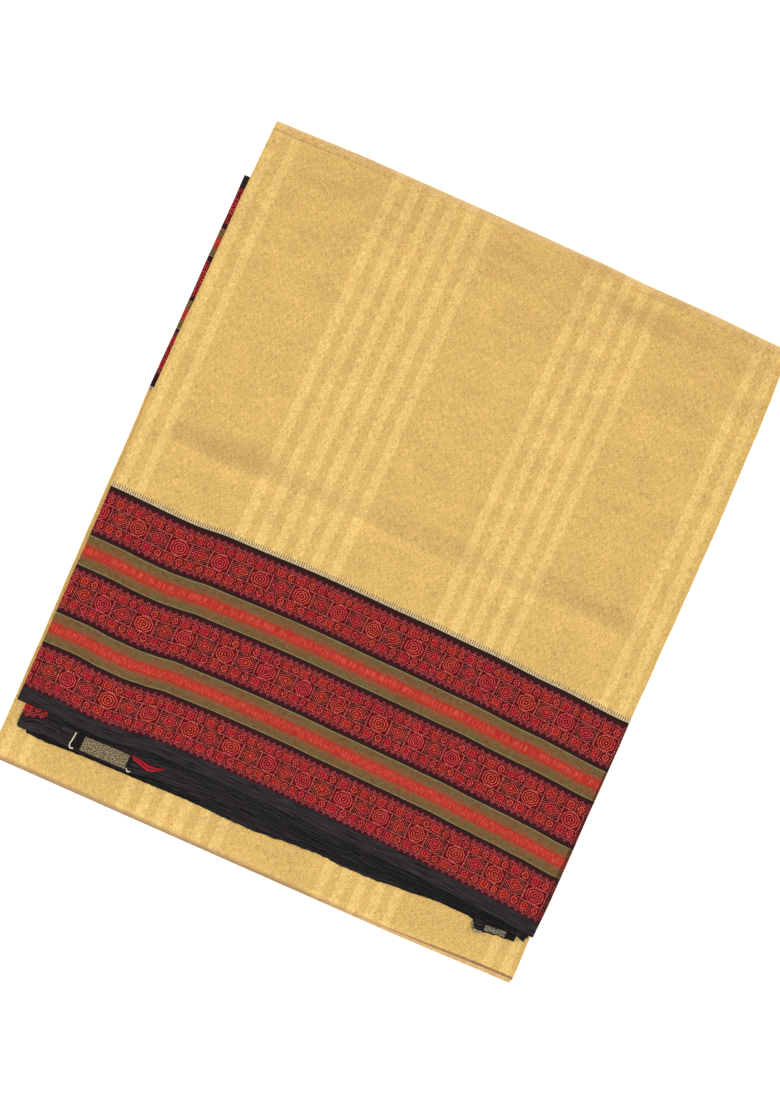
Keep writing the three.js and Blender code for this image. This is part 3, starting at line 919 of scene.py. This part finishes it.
# painted shade behind the ridge
CREASE_SHADE = dye(202, 159, 97)
# painted light on the top fold's crest
CREST_LIGHT = dye(232, 190, 130)
COMB_GAP = dye(128, 98, 62)
COMB_TICK = dye(240, 225, 186)
COMB_WHITE = dye(214, 204, 176)


def stripes(x):
    """1 on the lighter stripes."""
    total = x * 0
    out, full, far = STRIPE_EDGES
    for start, pitch, count, width in STRIPE_GROUPS:
        place = ((x - start) / pitch).fract() * pitch
        edge = place.fade(out, full) & place.fade(width + far, width - far)
        total = total | (edge & x.within(start, start + pitch * count))
    return total


def plain_weave(x, s, pitch):
    """The rise and fall of threads that pass over and under each other."""
    across = (x / pitch).fract() * 2 - 1
    along = (s / pitch).fract() * 2 - 1
    parity = (((x / pitch).floor() + (s / pitch).floor()) * 0.5).fract() * 2
    warp = -(across * across) + 1
    weft = -(along * along) + 1
    return (warp & parity) + (weft & (-parity + 1))


def comb(x, from_edge, colour):
    """Pale ticks with darker gaps, and a whitish line under them, where the two warps interlock."""
    place = (x / COMB_PITCH + speckle(x, from_edge, "comb places") * 0.5).fract()
    reach = from_edge < speckle(x, from_edge, "comb reach") * 1.6 + COMB_TOP - 1.0
    return layered(
        colour,
        (reach & (from_edge > COMB_LINE) & (place > 0.5) & STRONG["tick"], COMB_TICK),
        ((from_edge < COMB_LINE) & STRONG["white"], COMB_WHITE),
        (reach & (from_edge > COMB_LINE - 0.6) & (place < 0.5) & STRONG["gap"], COMB_GAP),
    )


def painted_crease_light(x, s):
    """Painted shade behind the ridge, and a painted highlight in front of it, as a lamp would give them."""
    dark = bright = x * 0
    y = s + FRONT_SELVEDGE / MM
    far, near = CREASE_HIGHLIGHT
    for edge_y, blur, faded_y, strength, start, end in CREASES:
        stretch = x.fade(start - CREASE_FADE, start + CREASE_FADE)
        stretch = stretch & x.fade(end + CREASE_FADE, end - CREASE_FADE) & strength
        full_y = edge_y + CREASE_DEEP
        deep = y.fade(edge_y - blur, edge_y + blur) * 0.5 + y.fade(edge_y, full_y) * 0.5
        light = y.fade(edge_y - far, edge_y - near) & y.fade(edge_y + blur, edge_y - blur)
        dark = dark + (deep & y.fade(faded_y, full_y) & stretch)
        bright = bright + (light & stretch)
    return dark, bright


def gold_ground():
    tree, x, s = new_weave("gold ground")
    spots, slub = slubs(x, s, GOLD_SLUB)
    drift = (speckle(x, s, "drift") - 0.5) * 1.2
    from_top = abs(s - TOP_CREST / MM)
    past_bottom = s - BOTTOM_CREST / MM
    right = x.fade(*RIGHT_PART)
    lip = right * LIP_REACH + LIP_REACH
    # painted shade: a brownish line where the top fold's turn meets the flat cloth, stronger at the left
    crest_shade_line = abs(from_top + spots["clouds"] * 1.5 - CREST_LINE).fade(*CREST_LINE_BLUR)
    # brownish patches, strongest near the top fold
    top_patches = speckle(x, s, "top patches").fade(*PATCH_SPOTS) & from_top.fade(*PATCH_REACH)
    # dark is painted shade behind the ridge, and bright a painted highlight in front of it
    dark, bright = painted_crease_light(x, s)
    colour = layered(
        GOLD,
        (stripes(x + drift) & STRONG["stripe"], STRIPE_GOLD),
        # painted light: the cloth round the top fold's crest is lighter, standing in for light bounced from
        # the table
        (from_top.fade(*CREST_BAND) & STRONG["crest"], CREST_LIGHT),
        # painted shade at the bottom fold: a brown band round its crest at the left, a tan band at the right,
        # and a brown line along the groove between its lips
        (abs(past_bottom).fade(*LIP_BAND) & (-right + 0.85).most(0), LIP_SHADE),
        (past_bottom.within(LIP_FAR, lip) & right & STRONG["tan"], LOWER_LIP_SHADE),
        (crest_shade_line & (x.fade(*LINE_BY_LEFT) * 0.6 + 0.25), FOLD_SHADE),
        (top_patches & STRONG["top patches"], TOP_PATCH_BROWN),
        (abs(past_bottom - lip).fade(*LIP_BLUR) & (right + 0.2), LIP_SHADE),
    )
    colour = comb(x, s.least(-s + CLOTH_WIDTH / MM), colour)
    # painted shade behind the ridge, in brown
    colour = dyed(dark & STRONG["crease"], colour, CREASE_SHADE)
    threads = plain_weave(x, s, THREAD)
    # bright lightens the colour as a painted highlight in front of the ridge
    colour = shaded(colour, slub + 0.955 + threads * 0.07 + bright * 0.03)
    height = threads * 0.6 + slub * 1.2
    return finish_weave(tree, Color=colour, Height=height, Roughness=spots["warp slub"] * 0.2 + 0.6)


gold_weave = gold_ground()
print("the gold ground takes", len(gold_weave.nodes), "nodes")

# %% [markdown]
# ## The border
# The border is charted on squared paper, as a weaver would: three red bands, two olive bands with
# an orange line between them, and a black selvedge. In a red band, rosettes and diamonds take
# turns in cells of 13 mm, with a row of small squares and rings on each side. Dotted lines part the
# rows. Sizes are rounded to whole threads, so curves come out in steps.
# Threads could be modelled one by one, but that would be millions of faces for a flat pattern.

# %% Chart the border
BAND_PITCH = 51.1
BAND_MIDDLE = 23.2
CELL = REPEAT / MM / 2
LAST_CELL = (len(REPEAT_STARTS) - 1) * REPEAT / MM
STITCH = 0.3
SELVEDGE_DEPTH = 9.1
SEAM_ROWS = 135.0
CHART_EDGE = 13.9
BLACK_EDGE = 15.9
# pitch of the dots and of the hatching in mm, and the share that shows
DOTS = (1.15, 0.55)
BARS = (1.15, 0.6)
HATCH = (1.2, 0.62)
# distances from a red band's middle, in mm
MOTIF_TOP = 4.85
SMALL_MIDDLE = 8.1
SMALL_ROW = (6.0, 10.1)
DOTTED_ROWS = [(4.9, 5.6), (10.3, 10.95), (11.5, 12.1)]
DARK_ROWS = [(MOTIF_TOP, 5.9), (10.95, 11.5)]
PURPLE_FROM = 12.3
POINTS_FROM, POINTS_FOOT, POINTS_RISE, POINTS_SINK = 12.2, 12.4, 2.6, 1.2
# distances from a cell's middle, in mm
PARTING_FROM, BAR_FROM, BAR_HALF = 6.1, 2.9, 1.9
# half width and half height of each motif in mm, and its lines as shares of them
ROSETTE, ROSETTE_RINGS, ROSETTE_EYE = (5.1, 4.8), [(0.88, 1.0), (0.58, 0.71), (0.3, 0.42)], 0.14
DIAMOND, DIAMOND_LINES, DIAMOND_HEART = (5.5, 4.3), [(0.84, 1.0), (0.48, 0.62)], 0.26
CORNER_LINES = [(1.2, 1.34), (1.56, 1.7)]
SQUARE, SQUARE_MARK, MARK_LINE = (2.2, 1.75), (1.5, 1.2), (0.5, 0.95)
RING, RING_LINE, RING_EYE = (1.9, 1.8), (0.68, 1.0), 0.26
# distances from an olive band's middle where each colour starts to show, and shows in full, in mm
BROWN_EDGE, ORANGE_EDGE, TICK_EDGE = (6.8, 4.4), (4.2, 2.2), (3.0, 1.6)
KHAKI_EDGE = BLACK_EDGE + 0.6
PLY_EDGE_SHADE_DEPTH = 0.5
BORDER_SLUB = {"border warp": 0.5, "border weft": 0.4, "border clouds": 0.25}
BLACK = dye(43, 39, 40)
# painted shade along each ply's edge
PLY_EDGE_SHADE = dye(14, 12, 12)
EDGE_BLACK = dye(46, 24, 20)
PURPLE = dye(68, 14, 26)
MAROON = dye(92, 6, 12)
TINT = dye(88, 6, 12)
ROSE = dye(230, 72, 80)
RUST = dye(232, 90, 66)
CRIMSON = dye(232, 52, 66)
CORAL = dye(238, 74, 54)
PALE = dye(222, 98, 92)
CORNER = dye(56, 8, 12)
CORNER_LINE = dye(176, 74, 64)
MAUVE = dye(154, 60, 72)
OLIVE = dye(118, 80, 48)
OLIVE_GREEN = dye(106, 92, 54)
KHAKI = dye(150, 132, 94)
BROWN = dye(146, 80, 52)
ORANGE = dye(176, 44, 34)
ORANGE_TICK = dye(212, 88, 68)


def stitched(value):
    """Rounds to the middle of a thread."""
    return ((value / STITCH).floor() + 0.5) * STITCH


def repeated(place, pitch_and_share):
    """1 on the shown share of every pitch."""
    pitch, share = pitch_and_share
    return (place / pitch).fract() < share


def octagon(x, y, half):
    """1 on the outline of an octagon of this half size, less inside it and more outside."""
    across, up = abs(x) / half[0], abs(y) / half[1]
    return across.most(up).most((across + up) * 0.7)


def small_cells(x, rise):
    """Squares and rings by turns, two to a cell, with a stitched line between them."""
    pitch = CELL / 2
    place = (x / pitch).fract() * pitch - pitch / 2
    turn = ((x / pitch).floor() * 0.5).fract() > 0.25
    square = (abs(place) < SQUARE[0]) & (abs(rise) < SQUARE[1])
    block = square & (-octagon(place, rise, SQUARE_MARK).within(*MARK_LINE) + 1) & (-turn + 1)
    ring = octagon(place, rise, RING)
    loop = (ring.within(*RING_LINE) | (ring < RING_EYE)) & turn
    bar = (abs(place) > BAR_FROM) & (abs(rise) < BAR_HALF) & repeated(rise, BARS)
    return block, loop, bar


def red_band(x, s, from_middle, colour):
    """The chart of one red band, laid over a colour."""
    x = stitched(x)
    rise = stitched(abs(from_middle))
    place = ((x / CELL).fract() - 0.5) * CELL
    motif_row = rise < MOTIF_TOP
    even = (((x / CELL).floor() * 0.5).fract() < 0.25) & motif_row
    odd = motif_row - even
    size = octagon(place, rise, ROSETTE)
    rings, eye = size.among(ROSETTE_RINGS) & odd, (size < ROSETTE_EYE) & odd
    inside = (size < ROSETTE_RINGS[0][0]) & odd
    size = abs(place) / DIAMOND[0] + rise / DIAMOND[1]
    lines, heart = size.among(DIAMOND_LINES) & even, (size < DIAMOND_HEART) & even
    parting = (abs(place) > PARTING_FROM) & motif_row & repeated(rise, BARS)
    dots = rise.among(DOTTED_ROWS) & repeated(x, DOTS)
    small = small_cells(x, rise - SMALL_MIDDLE)
    block, loop, bar = (part & rise.within(*SMALL_ROW) for part in small)
    point = abs((x / (CELL / 3)).fract() * 2 - 1) * POINTS_RISE - POINTS_SINK
    points = rise.within(POINTS_FROM, CHART_EDGE) & (rise - POINTS_FOOT < point)
    hue = speckle(x, s, "hue").fade(0.4, 0.6)
    beads = speckle(x, s, "beads").fade(0.4, 0.54) * 0.7 + 0.3
    hatch = repeated(x, HATCH) & repeated(rise, HATCH)
    colour = layered(
        colour,
        (inside, TINT),
        ((size > 1.0) & even, CORNER),
        (rise.among(DARK_ROWS), CORNER),
        (rise > PURPLE_FROM, PURPLE),
        ((rings | lines | loop) & beads, dyed(hue, ROSE, RUST)),
        ((block | heart | eye) & (hatch * 0.5 + 0.5), dyed(hue, CRIMSON, CORAL)),
        (size.among(CORNER_LINES) & even & beads, CORNER_LINE),
        ((parting | bar | dots) & beads, PALE),
        (points & 0.8, MAUVE),
    )
    return colour, rings | lines | loop | block | heart | eye | parting | bar | dots


def olive_band(x, s, away):
    """Mottled olive with a khaki line at its edge, and a streaked orange line down its middle."""
    colour = dyed(speckle(x, s, "mottle").fade(0.38, 0.62), OLIVE, OLIVE_GREEN)
    colour = shaded(colour, speckle(x, s, "patches") * 1.1 + 0.46)
    ticks = speckle(x, s, "ticks")
    streak = -away + BAND_PITCH / 2 + ticks * 2.4 + speckle(x, s, "streaks") * 1.4 - 1.9
    return layered(
        colour,
        ((away < KHAKI_EDGE) & 0.7, KHAKI),
        (streak.fade(*BROWN_EDGE) & 0.6, BROWN),
        (streak.fade(*ORANGE_EDGE), ORANGE),
        (streak.fade(*TICK_EDGE) & ticks.fade(0.48, 0.6) & 0.85, ORANGE_TICK),
    )


def border_weave():
    tree, x, s = new_weave("woven border")
    s = s.least(-s + CLOTH_WIDTH / MM)
    from_middle = ((s - BAND_MIDDLE) / BAND_PITCH + 0.5).fract() * BAND_PITCH - BAND_PITCH / 2
    away = abs(from_middle)
    spots, slub = slubs(x, s, BORDER_SLUB)
    red, figured = red_band(x, s, from_middle, MAROON)
    plain = s < SELVEDGE_DEPTH
    colour = layered(
        red,
        (away > CHART_EDGE, EDGE_BLACK),
        ((away > BLACK_EDGE) & (s < SEAM_ROWS), olive_band(x, s, away)),
        # past the last repeat the border goes dark: partly where its pattern ends, partly painted shade of
        # the side fold
        ((x > LAST_CELL) & 0.6, EDGE_BLACK),
        (plain, BLACK),
        # painted shade: a dark line along the edge of every selvedge, standing in for the shadow between
        # plies
        ((s + spots["border warp"] * 0.9 < PLY_EDGE_SHADE_DEPTH) & 0.9, PLY_EDGE_SHADE),
    )
    figured = figured & (away < CHART_EDGE) & (-plain + 1)
    rough = (speckle(x, s, "rough") - 0.5) & (away < BLACK_EDGE) & (-plain + 1)
    threads = plain_weave(x, s, THREAD)
    # long dark and light streaks on the selvedge: partly uneven tone, partly painted shade of ply edges and
    # wrinkles
    streaks = (speckle(x, s, "long dashes") - 0.5) & plain
    colour = shaded(colour, slub + 0.95 + threads * 0.1 + streaks * 4.0 + rough * 1.8)
    height = threads * 0.5 + slub + figured * 0.5 + streaks
    return finish_weave(tree, Color=colour, Height=height, Roughness=-(figured * 0.12) + 0.64)


woven_border = border_weave()
print("the border takes", len(woven_border.nodes), "nodes")

# %% [markdown]
# ## The cloth's finishes
# Silk has a soft sheen and no hard highlight. The folded edges carry both weaves, because they run
# through the ground and through both borders.
# One function makes them all, so that they differ only in weave, highlight and sheen.

# %% Finish the cloth
BUMP_DISTANCE = 0.09 * MM
SHEEN_ROUGHNESS = 0.4
WEAVES = {"gold ground": gold_weave, "woven border": woven_border}


def cloth_finish(name, weaves, bump=0.5, specular=0.2, sheen=0.08):
    """A silk finish of one weave, or of the ground and the border by place along the weft."""
    look = {"Specular IOR Level": specular, "Sheen Weight": sheen, "Sheen Roughness": SHEEN_ROUGHNESS}
    material, shader = new_material(name, look)
    tree = material.node_tree
    uv = tree.nodes.new("ShaderNodeUVMap")
    uv.uv_map = "threads"
    raise_threads = tree.nodes.new("ShaderNodeBump")
    raise_threads.inputs["Strength"].default_value = bump
    raise_threads.inputs["Distance"].default_value = BUMP_DISTANCE
    groups = []
    for weave in weaves:
        group = tree.nodes.new("ShaderNodeGroup")
        group.node_tree = WEAVES[weave]
        tree.links.new(uv.outputs[0], group.inputs["Threads"])
        groups.append({key: Thread(tree, group.outputs[key]) for key in CLOTH_OUTPUTS})
    woven = groups[0]
    if len(groups) > 1:
        split = tree.nodes.new("ShaderNodeSeparateXYZ")
        tree.links.new(uv.outputs[0], split.inputs[0])
        inside = Thread(tree, split.outputs[1]).within(BORDER, CLOTH_WIDTH - BORDER)
        for key in ("Height", "Roughness"):
            woven[key] = woven[key].pick(inside, groups[1][key])
        woven["Color"] = dyed(inside, groups[1]["Color"], woven["Color"])
    plug(tree, woven["Height"], raise_threads.inputs["Height"])
    plug(tree, woven["Color"], shader.inputs["Base Color"])
    plug(tree, woven["Roughness"], shader.inputs["Roughness"])
    tree.links.new(raise_threads.outputs[0], shader.inputs["Normal"])
    return material


gold_silk = cloth_finish("gold silk", ["gold ground"])
border_silk = cloth_finish("border silk", ["woven border"], specular=0.08, sheen=0.0)
edge_silk = cloth_finish("folded silk", ["gold ground", "woven border"])
ground.data.materials.append(gold_silk)
front_border.data.materials.append(border_silk)
inner_border.data.materials.append(border_silk)
stack.data.materials.append(edge_silk)
for _, sheet, _ in fan:
    sheet.data.materials.append(border_silk)
print("finishes:", [material.name for material in (gold_silk, border_silk, edge_silk)])

# %% [markdown]
# ## The two tabs
# Two narrow woven tabs lie on the fan, with dark bound ends. Each is a thin sheet over its solid,
# like the other cloth. A plain block would do for the form, but it couldn't warp as cloth does.

# %% Weave the two tabs
TAB_END = dye(28, 23, 21)
TAB_THICK = 0.4 * MM
TAB_THREAD = 0.9
TAB_STEP = 0.5 * MM
TAB_ROWS = 14
TAB_BEND, TAB_WARP, TAB_SINK = 0.2 * MM, 0.12 * MM, 0.1 * MM
TAB_PALE, TAB_DARK = (0.5, 0.62), (0.45, 0.34)
# the solid, the sheet from x to x, the khaki from x to x, in mm; how it leans; its dyes
TABS = [
    ("left_tab", -128.6, -93.2, -124.2, -95.1, 0.0, dye(129, 110, 81), dye(163, 146, 113), dye(70, 55, 42)),
    ("right_tab", 143.6, 164.2, 144.9, 157.8, 0.04, dye(110, 102, 82), dye(156, 146, 124), dye(58, 52, 42)),
]


def tab_weave(name, khaki, pale, dark):
    """Threads of three shades; the map's x is below 0 on the bound ends."""
    tree, x, s = new_weave(name)
    threads = plain_weave(x, s, TAB_THREAD)
    uneven = speckle(x, s, "tab")
    colour = layered(
        khaki,
        ((uneven + threads * 0.1).fade(*TAB_PALE), pale),
        ((uneven - threads * 0.1).fade(*TAB_DARK), dark),
        (x + uneven * 0.8 < 0.3, TAB_END),
    )
    return finish_weave(tree, Color=colour, Height=threads * 2 + uneven, Roughness=uneven * 0.2 + 0.7)


def woven_tab(node, start, end, khaki_start, khaki_end, lean, *dyes):
    """A tab over its solid, with a dark bound end at the left and the right."""
    low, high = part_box(node)
    middle, depth = (low.x + high.x) / 2, high.y - low.y
    x, v = np.meshgrid(np.arange(start * MM, end * MM, TAB_STEP), np.linspace(0, 1, TAB_ROWS))
    inside = np.minimum(x - khaki_start * MM, khaki_end * MM - x)
    y = low.y + v * depth + TAB_BEND * np.sin(x / depth) + lean * (x - middle)
    z = high.z - TAB_SINK + TAB_WARP * np.sin(x / depth * 2 + v * 2)
    threads = np.stack([inside, v * depth + (x > middle) * depth * 2], axis=-1)
    tab = fold_sheet(np.stack([x, y, z], axis=-1), threads, f"woven_{node}", TAB_THICK)
    name = f"{node} weave"
    WEAVES[name] = tab_weave(name, *dyes)
    tab.data.materials.append(cloth_finish(name, [name], bump=0.9, specular=0.1, sheen=0.0))
    return tab


left_tab, right_tab = (woven_tab(*row) for row in TABS)
print("tabs:", left_tab.name, right_tab.name)

# %% [markdown]
# ## The red crescent
# Beside the left tab one ply is drawn back, and the red of the ply below shows as a crescent of two
# bright lines. It could be drawn on the ply, but as a scrap of its own it swells and has an edge.

# %% Show the red crescent
CRESCENT_RED = dye(184, 28, 42)
CRESCENT_DARK = dye(60, 14, 22)
# x, the crescent's lower edge, and its upper edge, in mm
CRESCENT = [
    (-94.2, -177.9, -177.1), (-92.3, -179.5, -177.0), (-88.4, -180.9, -177.1),
    (-84.4, -182.1, -177.5), (-81.9, -182.8, -177.9), (-77.3, -181.4, -177.9),
    (-74.5, -179.2, -177.4), (-72.4, -177.2, -176.8),
]
CRESCENT_LINES = [(0.9, 3.6), (5.2, 7.9)]
CRESCENT_MAP = 10 * MM  # the depth of the crescent on its map
CRESCENT_COLUMNS, CRESCENT_ROWS = 60, 16
CRESCENT_LIFT, CRESCENT_SWELL = 0.05 * MM, 0.25 * MM


def crescent_weave(name):
    """Two bright lines along the crescent; the map's y runs from 0 at its lower edge to 10."""
    tree, x, v = new_weave(name)
    rough = speckle(x, v, "crescent")
    lines = (v + (rough - 0.5) * 2.4).among(CRESCENT_LINES)
    colour = dyed(lines & 0.92, CRESCENT_DARK, CRESCENT_RED)
    colour = shaded(colour, rough * 1.3 + 0.35)
    return finish_weave(tree, Color=colour, Height=lines + rough, Roughness=rough * 0.2 + 0.5)


def lay_crescent():
    """A scrap of cloth between two edges, swollen a little in its middle."""
    edge_x, low_edge, high_edge = np.array(CRESCENT).T * MM
    x, share = np.meshgrid(
        np.linspace(edge_x[0], edge_x[-1], CRESCENT_COLUMNS), np.linspace(0, 1, CRESCENT_ROWS)
    )
    lower, upper = (np.interp(x, edge_x, edge) for edge in (low_edge, high_edge))
    swell = np.sin(share * math.pi) * np.sin((x - edge_x[0]) / np.ptp(edge_x) * math.pi)
    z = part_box("selvedge_ply_2")[1].z + CRESCENT_LIFT + CRESCENT_SWELL * swell
    places = np.stack([x, lower + share * (upper - lower), z], axis=-1)
    return fold_sheet(places, np.stack([x, CRESCENT_MAP * share], axis=-1), "red_crescent", SHEET_THICK)


WEAVES["crescent weave"] = crescent_weave("crescent weave")
crescent = lay_crescent()
crescent.data.materials.append(cloth_finish("crescent silk", ["crescent weave"], specular=0.1, sheen=0.0))
print("the crescent is", round(crescent.dimensions.x / MM, 1), "mm wide")

# %% [markdown]
# ## Wires and loose threads
# Fine wires with bent ends hold the left tab. At the right one a few threads have come loose and
# curl round the corner of the lowest ply. Each is a curve with a round bevel, made into a mesh.
# A tube could be built ring by ring, but a curve needs only the few places it passes through.

# %% Bend the fine wires and let a few threads loose
WIRE_RADIUS = 0.42 * MM
FRINGE_RADIUS = 0.3 * MM
WORN_SCALE = 900
LOOSE_THREADS = 7
# the middle of the loose threads' curls, and how far they reach from it, in mm
CURL_PLACE = (141.0, -187.0)
CURL_REACH = (4.1, 3.5)
CURL_DEGREES = range(170, 330, 20)
CURL_JITTER = 0.18
CURL_SINK = 0.3 * MM
CURL_PITCH = 0.1 * MM


def bent(name, places, height, radius):
    """A fine round wire or thread through places given as x and y in mm."""
    bpy.ops.curve.primitive_bezier_curve_add()
    path = bpy.context.object
    path.name = name
    path.data.bevel_depth = radius
    path.data.bevel_resolution = 3
    path.data.use_fill_caps = True
    points = path.data.splines[0].bezier_points
    points.add(len(places) - len(points))
    for (x, y), point in zip(places, points):
        point.co = (x * MM, y * MM, height)
        point.handle_left_type = point.handle_right_type = "AUTO"
    bpy.ops.object.convert(target="MESH")
    piece = bpy.context.object
    bpy.ops.object.shade_smooth()
    deselect()
    return piece


def plain_finish(name, colour, roughness, metallic=0.0):
    material, shader = new_material(name, {"Metallic": metallic})
    tree = material.node_tree
    place = tree.nodes.new("ShaderNodeTexCoord")
    spots = tree.nodes.new("ShaderNodeTexNoise")
    spots.inputs["Scale"].default_value = WORN_SCALE
    tree.links.new(place.outputs["Object"], spots.inputs["Vector"])
    worn = Thread(tree, spots.outputs["Fac"])
    plug(tree, shaded(colour, worn * 0.5 + 0.75), shader.inputs["Base Color"])
    plug(tree, worn * 0.3 + roughness, shader.inputs["Roughness"])
    return material


brass = plain_finish("pin brass", dye(240, 226, 196)[:3], 0.25, metallic=0.6)
pale_thread = plain_finish("pale thread", dye(236, 216, 186)[:3], 0.7)
olive_thread = plain_finish("olive thread", dye(92, 78, 46)[:3], 0.7)

pin_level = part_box("tab_pin")[1].z - WIRE_RADIUS
PIN_PLACES = [(-130.3, -178.2), (-130.8, -183), (-131.1, -187.2), (-130.2, -188.2), (-128.4, -187.9)]
STAPLE_PLACES = [(-94.0, -185.8), (-93.2, -186.9), (-92.4, -187.5), (-90.9, -186.7)]
pin = bent("bent_pin", PIN_PLACES, pin_level, WIRE_RADIUS)
staple = bent("bent_wire_end", STAPLE_PLACES, pin_level, 0.8 * WIRE_RADIUS)
for piece in (pin, staple):
    piece.data.materials.append(brass)

random.seed(5)
tab_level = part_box("right_tab")[0].z
loose = []
for count in range(LOOSE_THREADS):
    swell = 0.88 + 0.32 * count / LOOSE_THREADS + random.uniform(-0.02, 0.02)
    places = []
    for angle in map(math.radians, CURL_DEGREES):
        turn = (math.cos(angle), math.sin(angle))
        jitter = random.uniform(-CURL_JITTER, CURL_JITTER)
        places.append([at + reach * swell * t + jitter for at, reach, t in zip(CURL_PLACE, CURL_REACH, turn)])
    height = tab_level - CURL_SINK + CURL_PITCH * count
    thread = bent(f"loose_thread_{count + 1}", places, height, FRINGE_RADIUS)
    thread.data.materials.append(pale_thread if count % 2 else olive_thread)
    loose.append(thread)
print("wires and", len(loose), "loose threads")

# %% [markdown]
# ## What each piece stands for
# Every piece rides on the root body, and the solids that most of them stand for are hidden. The wide
# sheets' flat sizes were worked out when they were laid.

# %% Tie the pieces to the frame
def dress(piece, slot, *nodes):
    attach(piece, "root")
    if nodes:
        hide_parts(*nodes)


dress(ground, "gold_silk", "front_body", "back_body", "lower_body")
dress(front_border, "red_border", "front_border")
dress(inner_border, "red_border", "inner_border")
dress(stack, "gold_silk", "hidden_plies")
dress(crescent, "red_border")
dress(left_tab, "khaki_weave", "left_tab")
dress(right_tab, "khaki_weave", "right_tab")
dress(pin, "pin_brass", "tab_pin")
dress(staple, "pin_brass")
for thread in loose:
    dress(thread, "khaki_weave")
for node, sheet, flat in fan:
    dress(sheet, "black_selvedge", node)
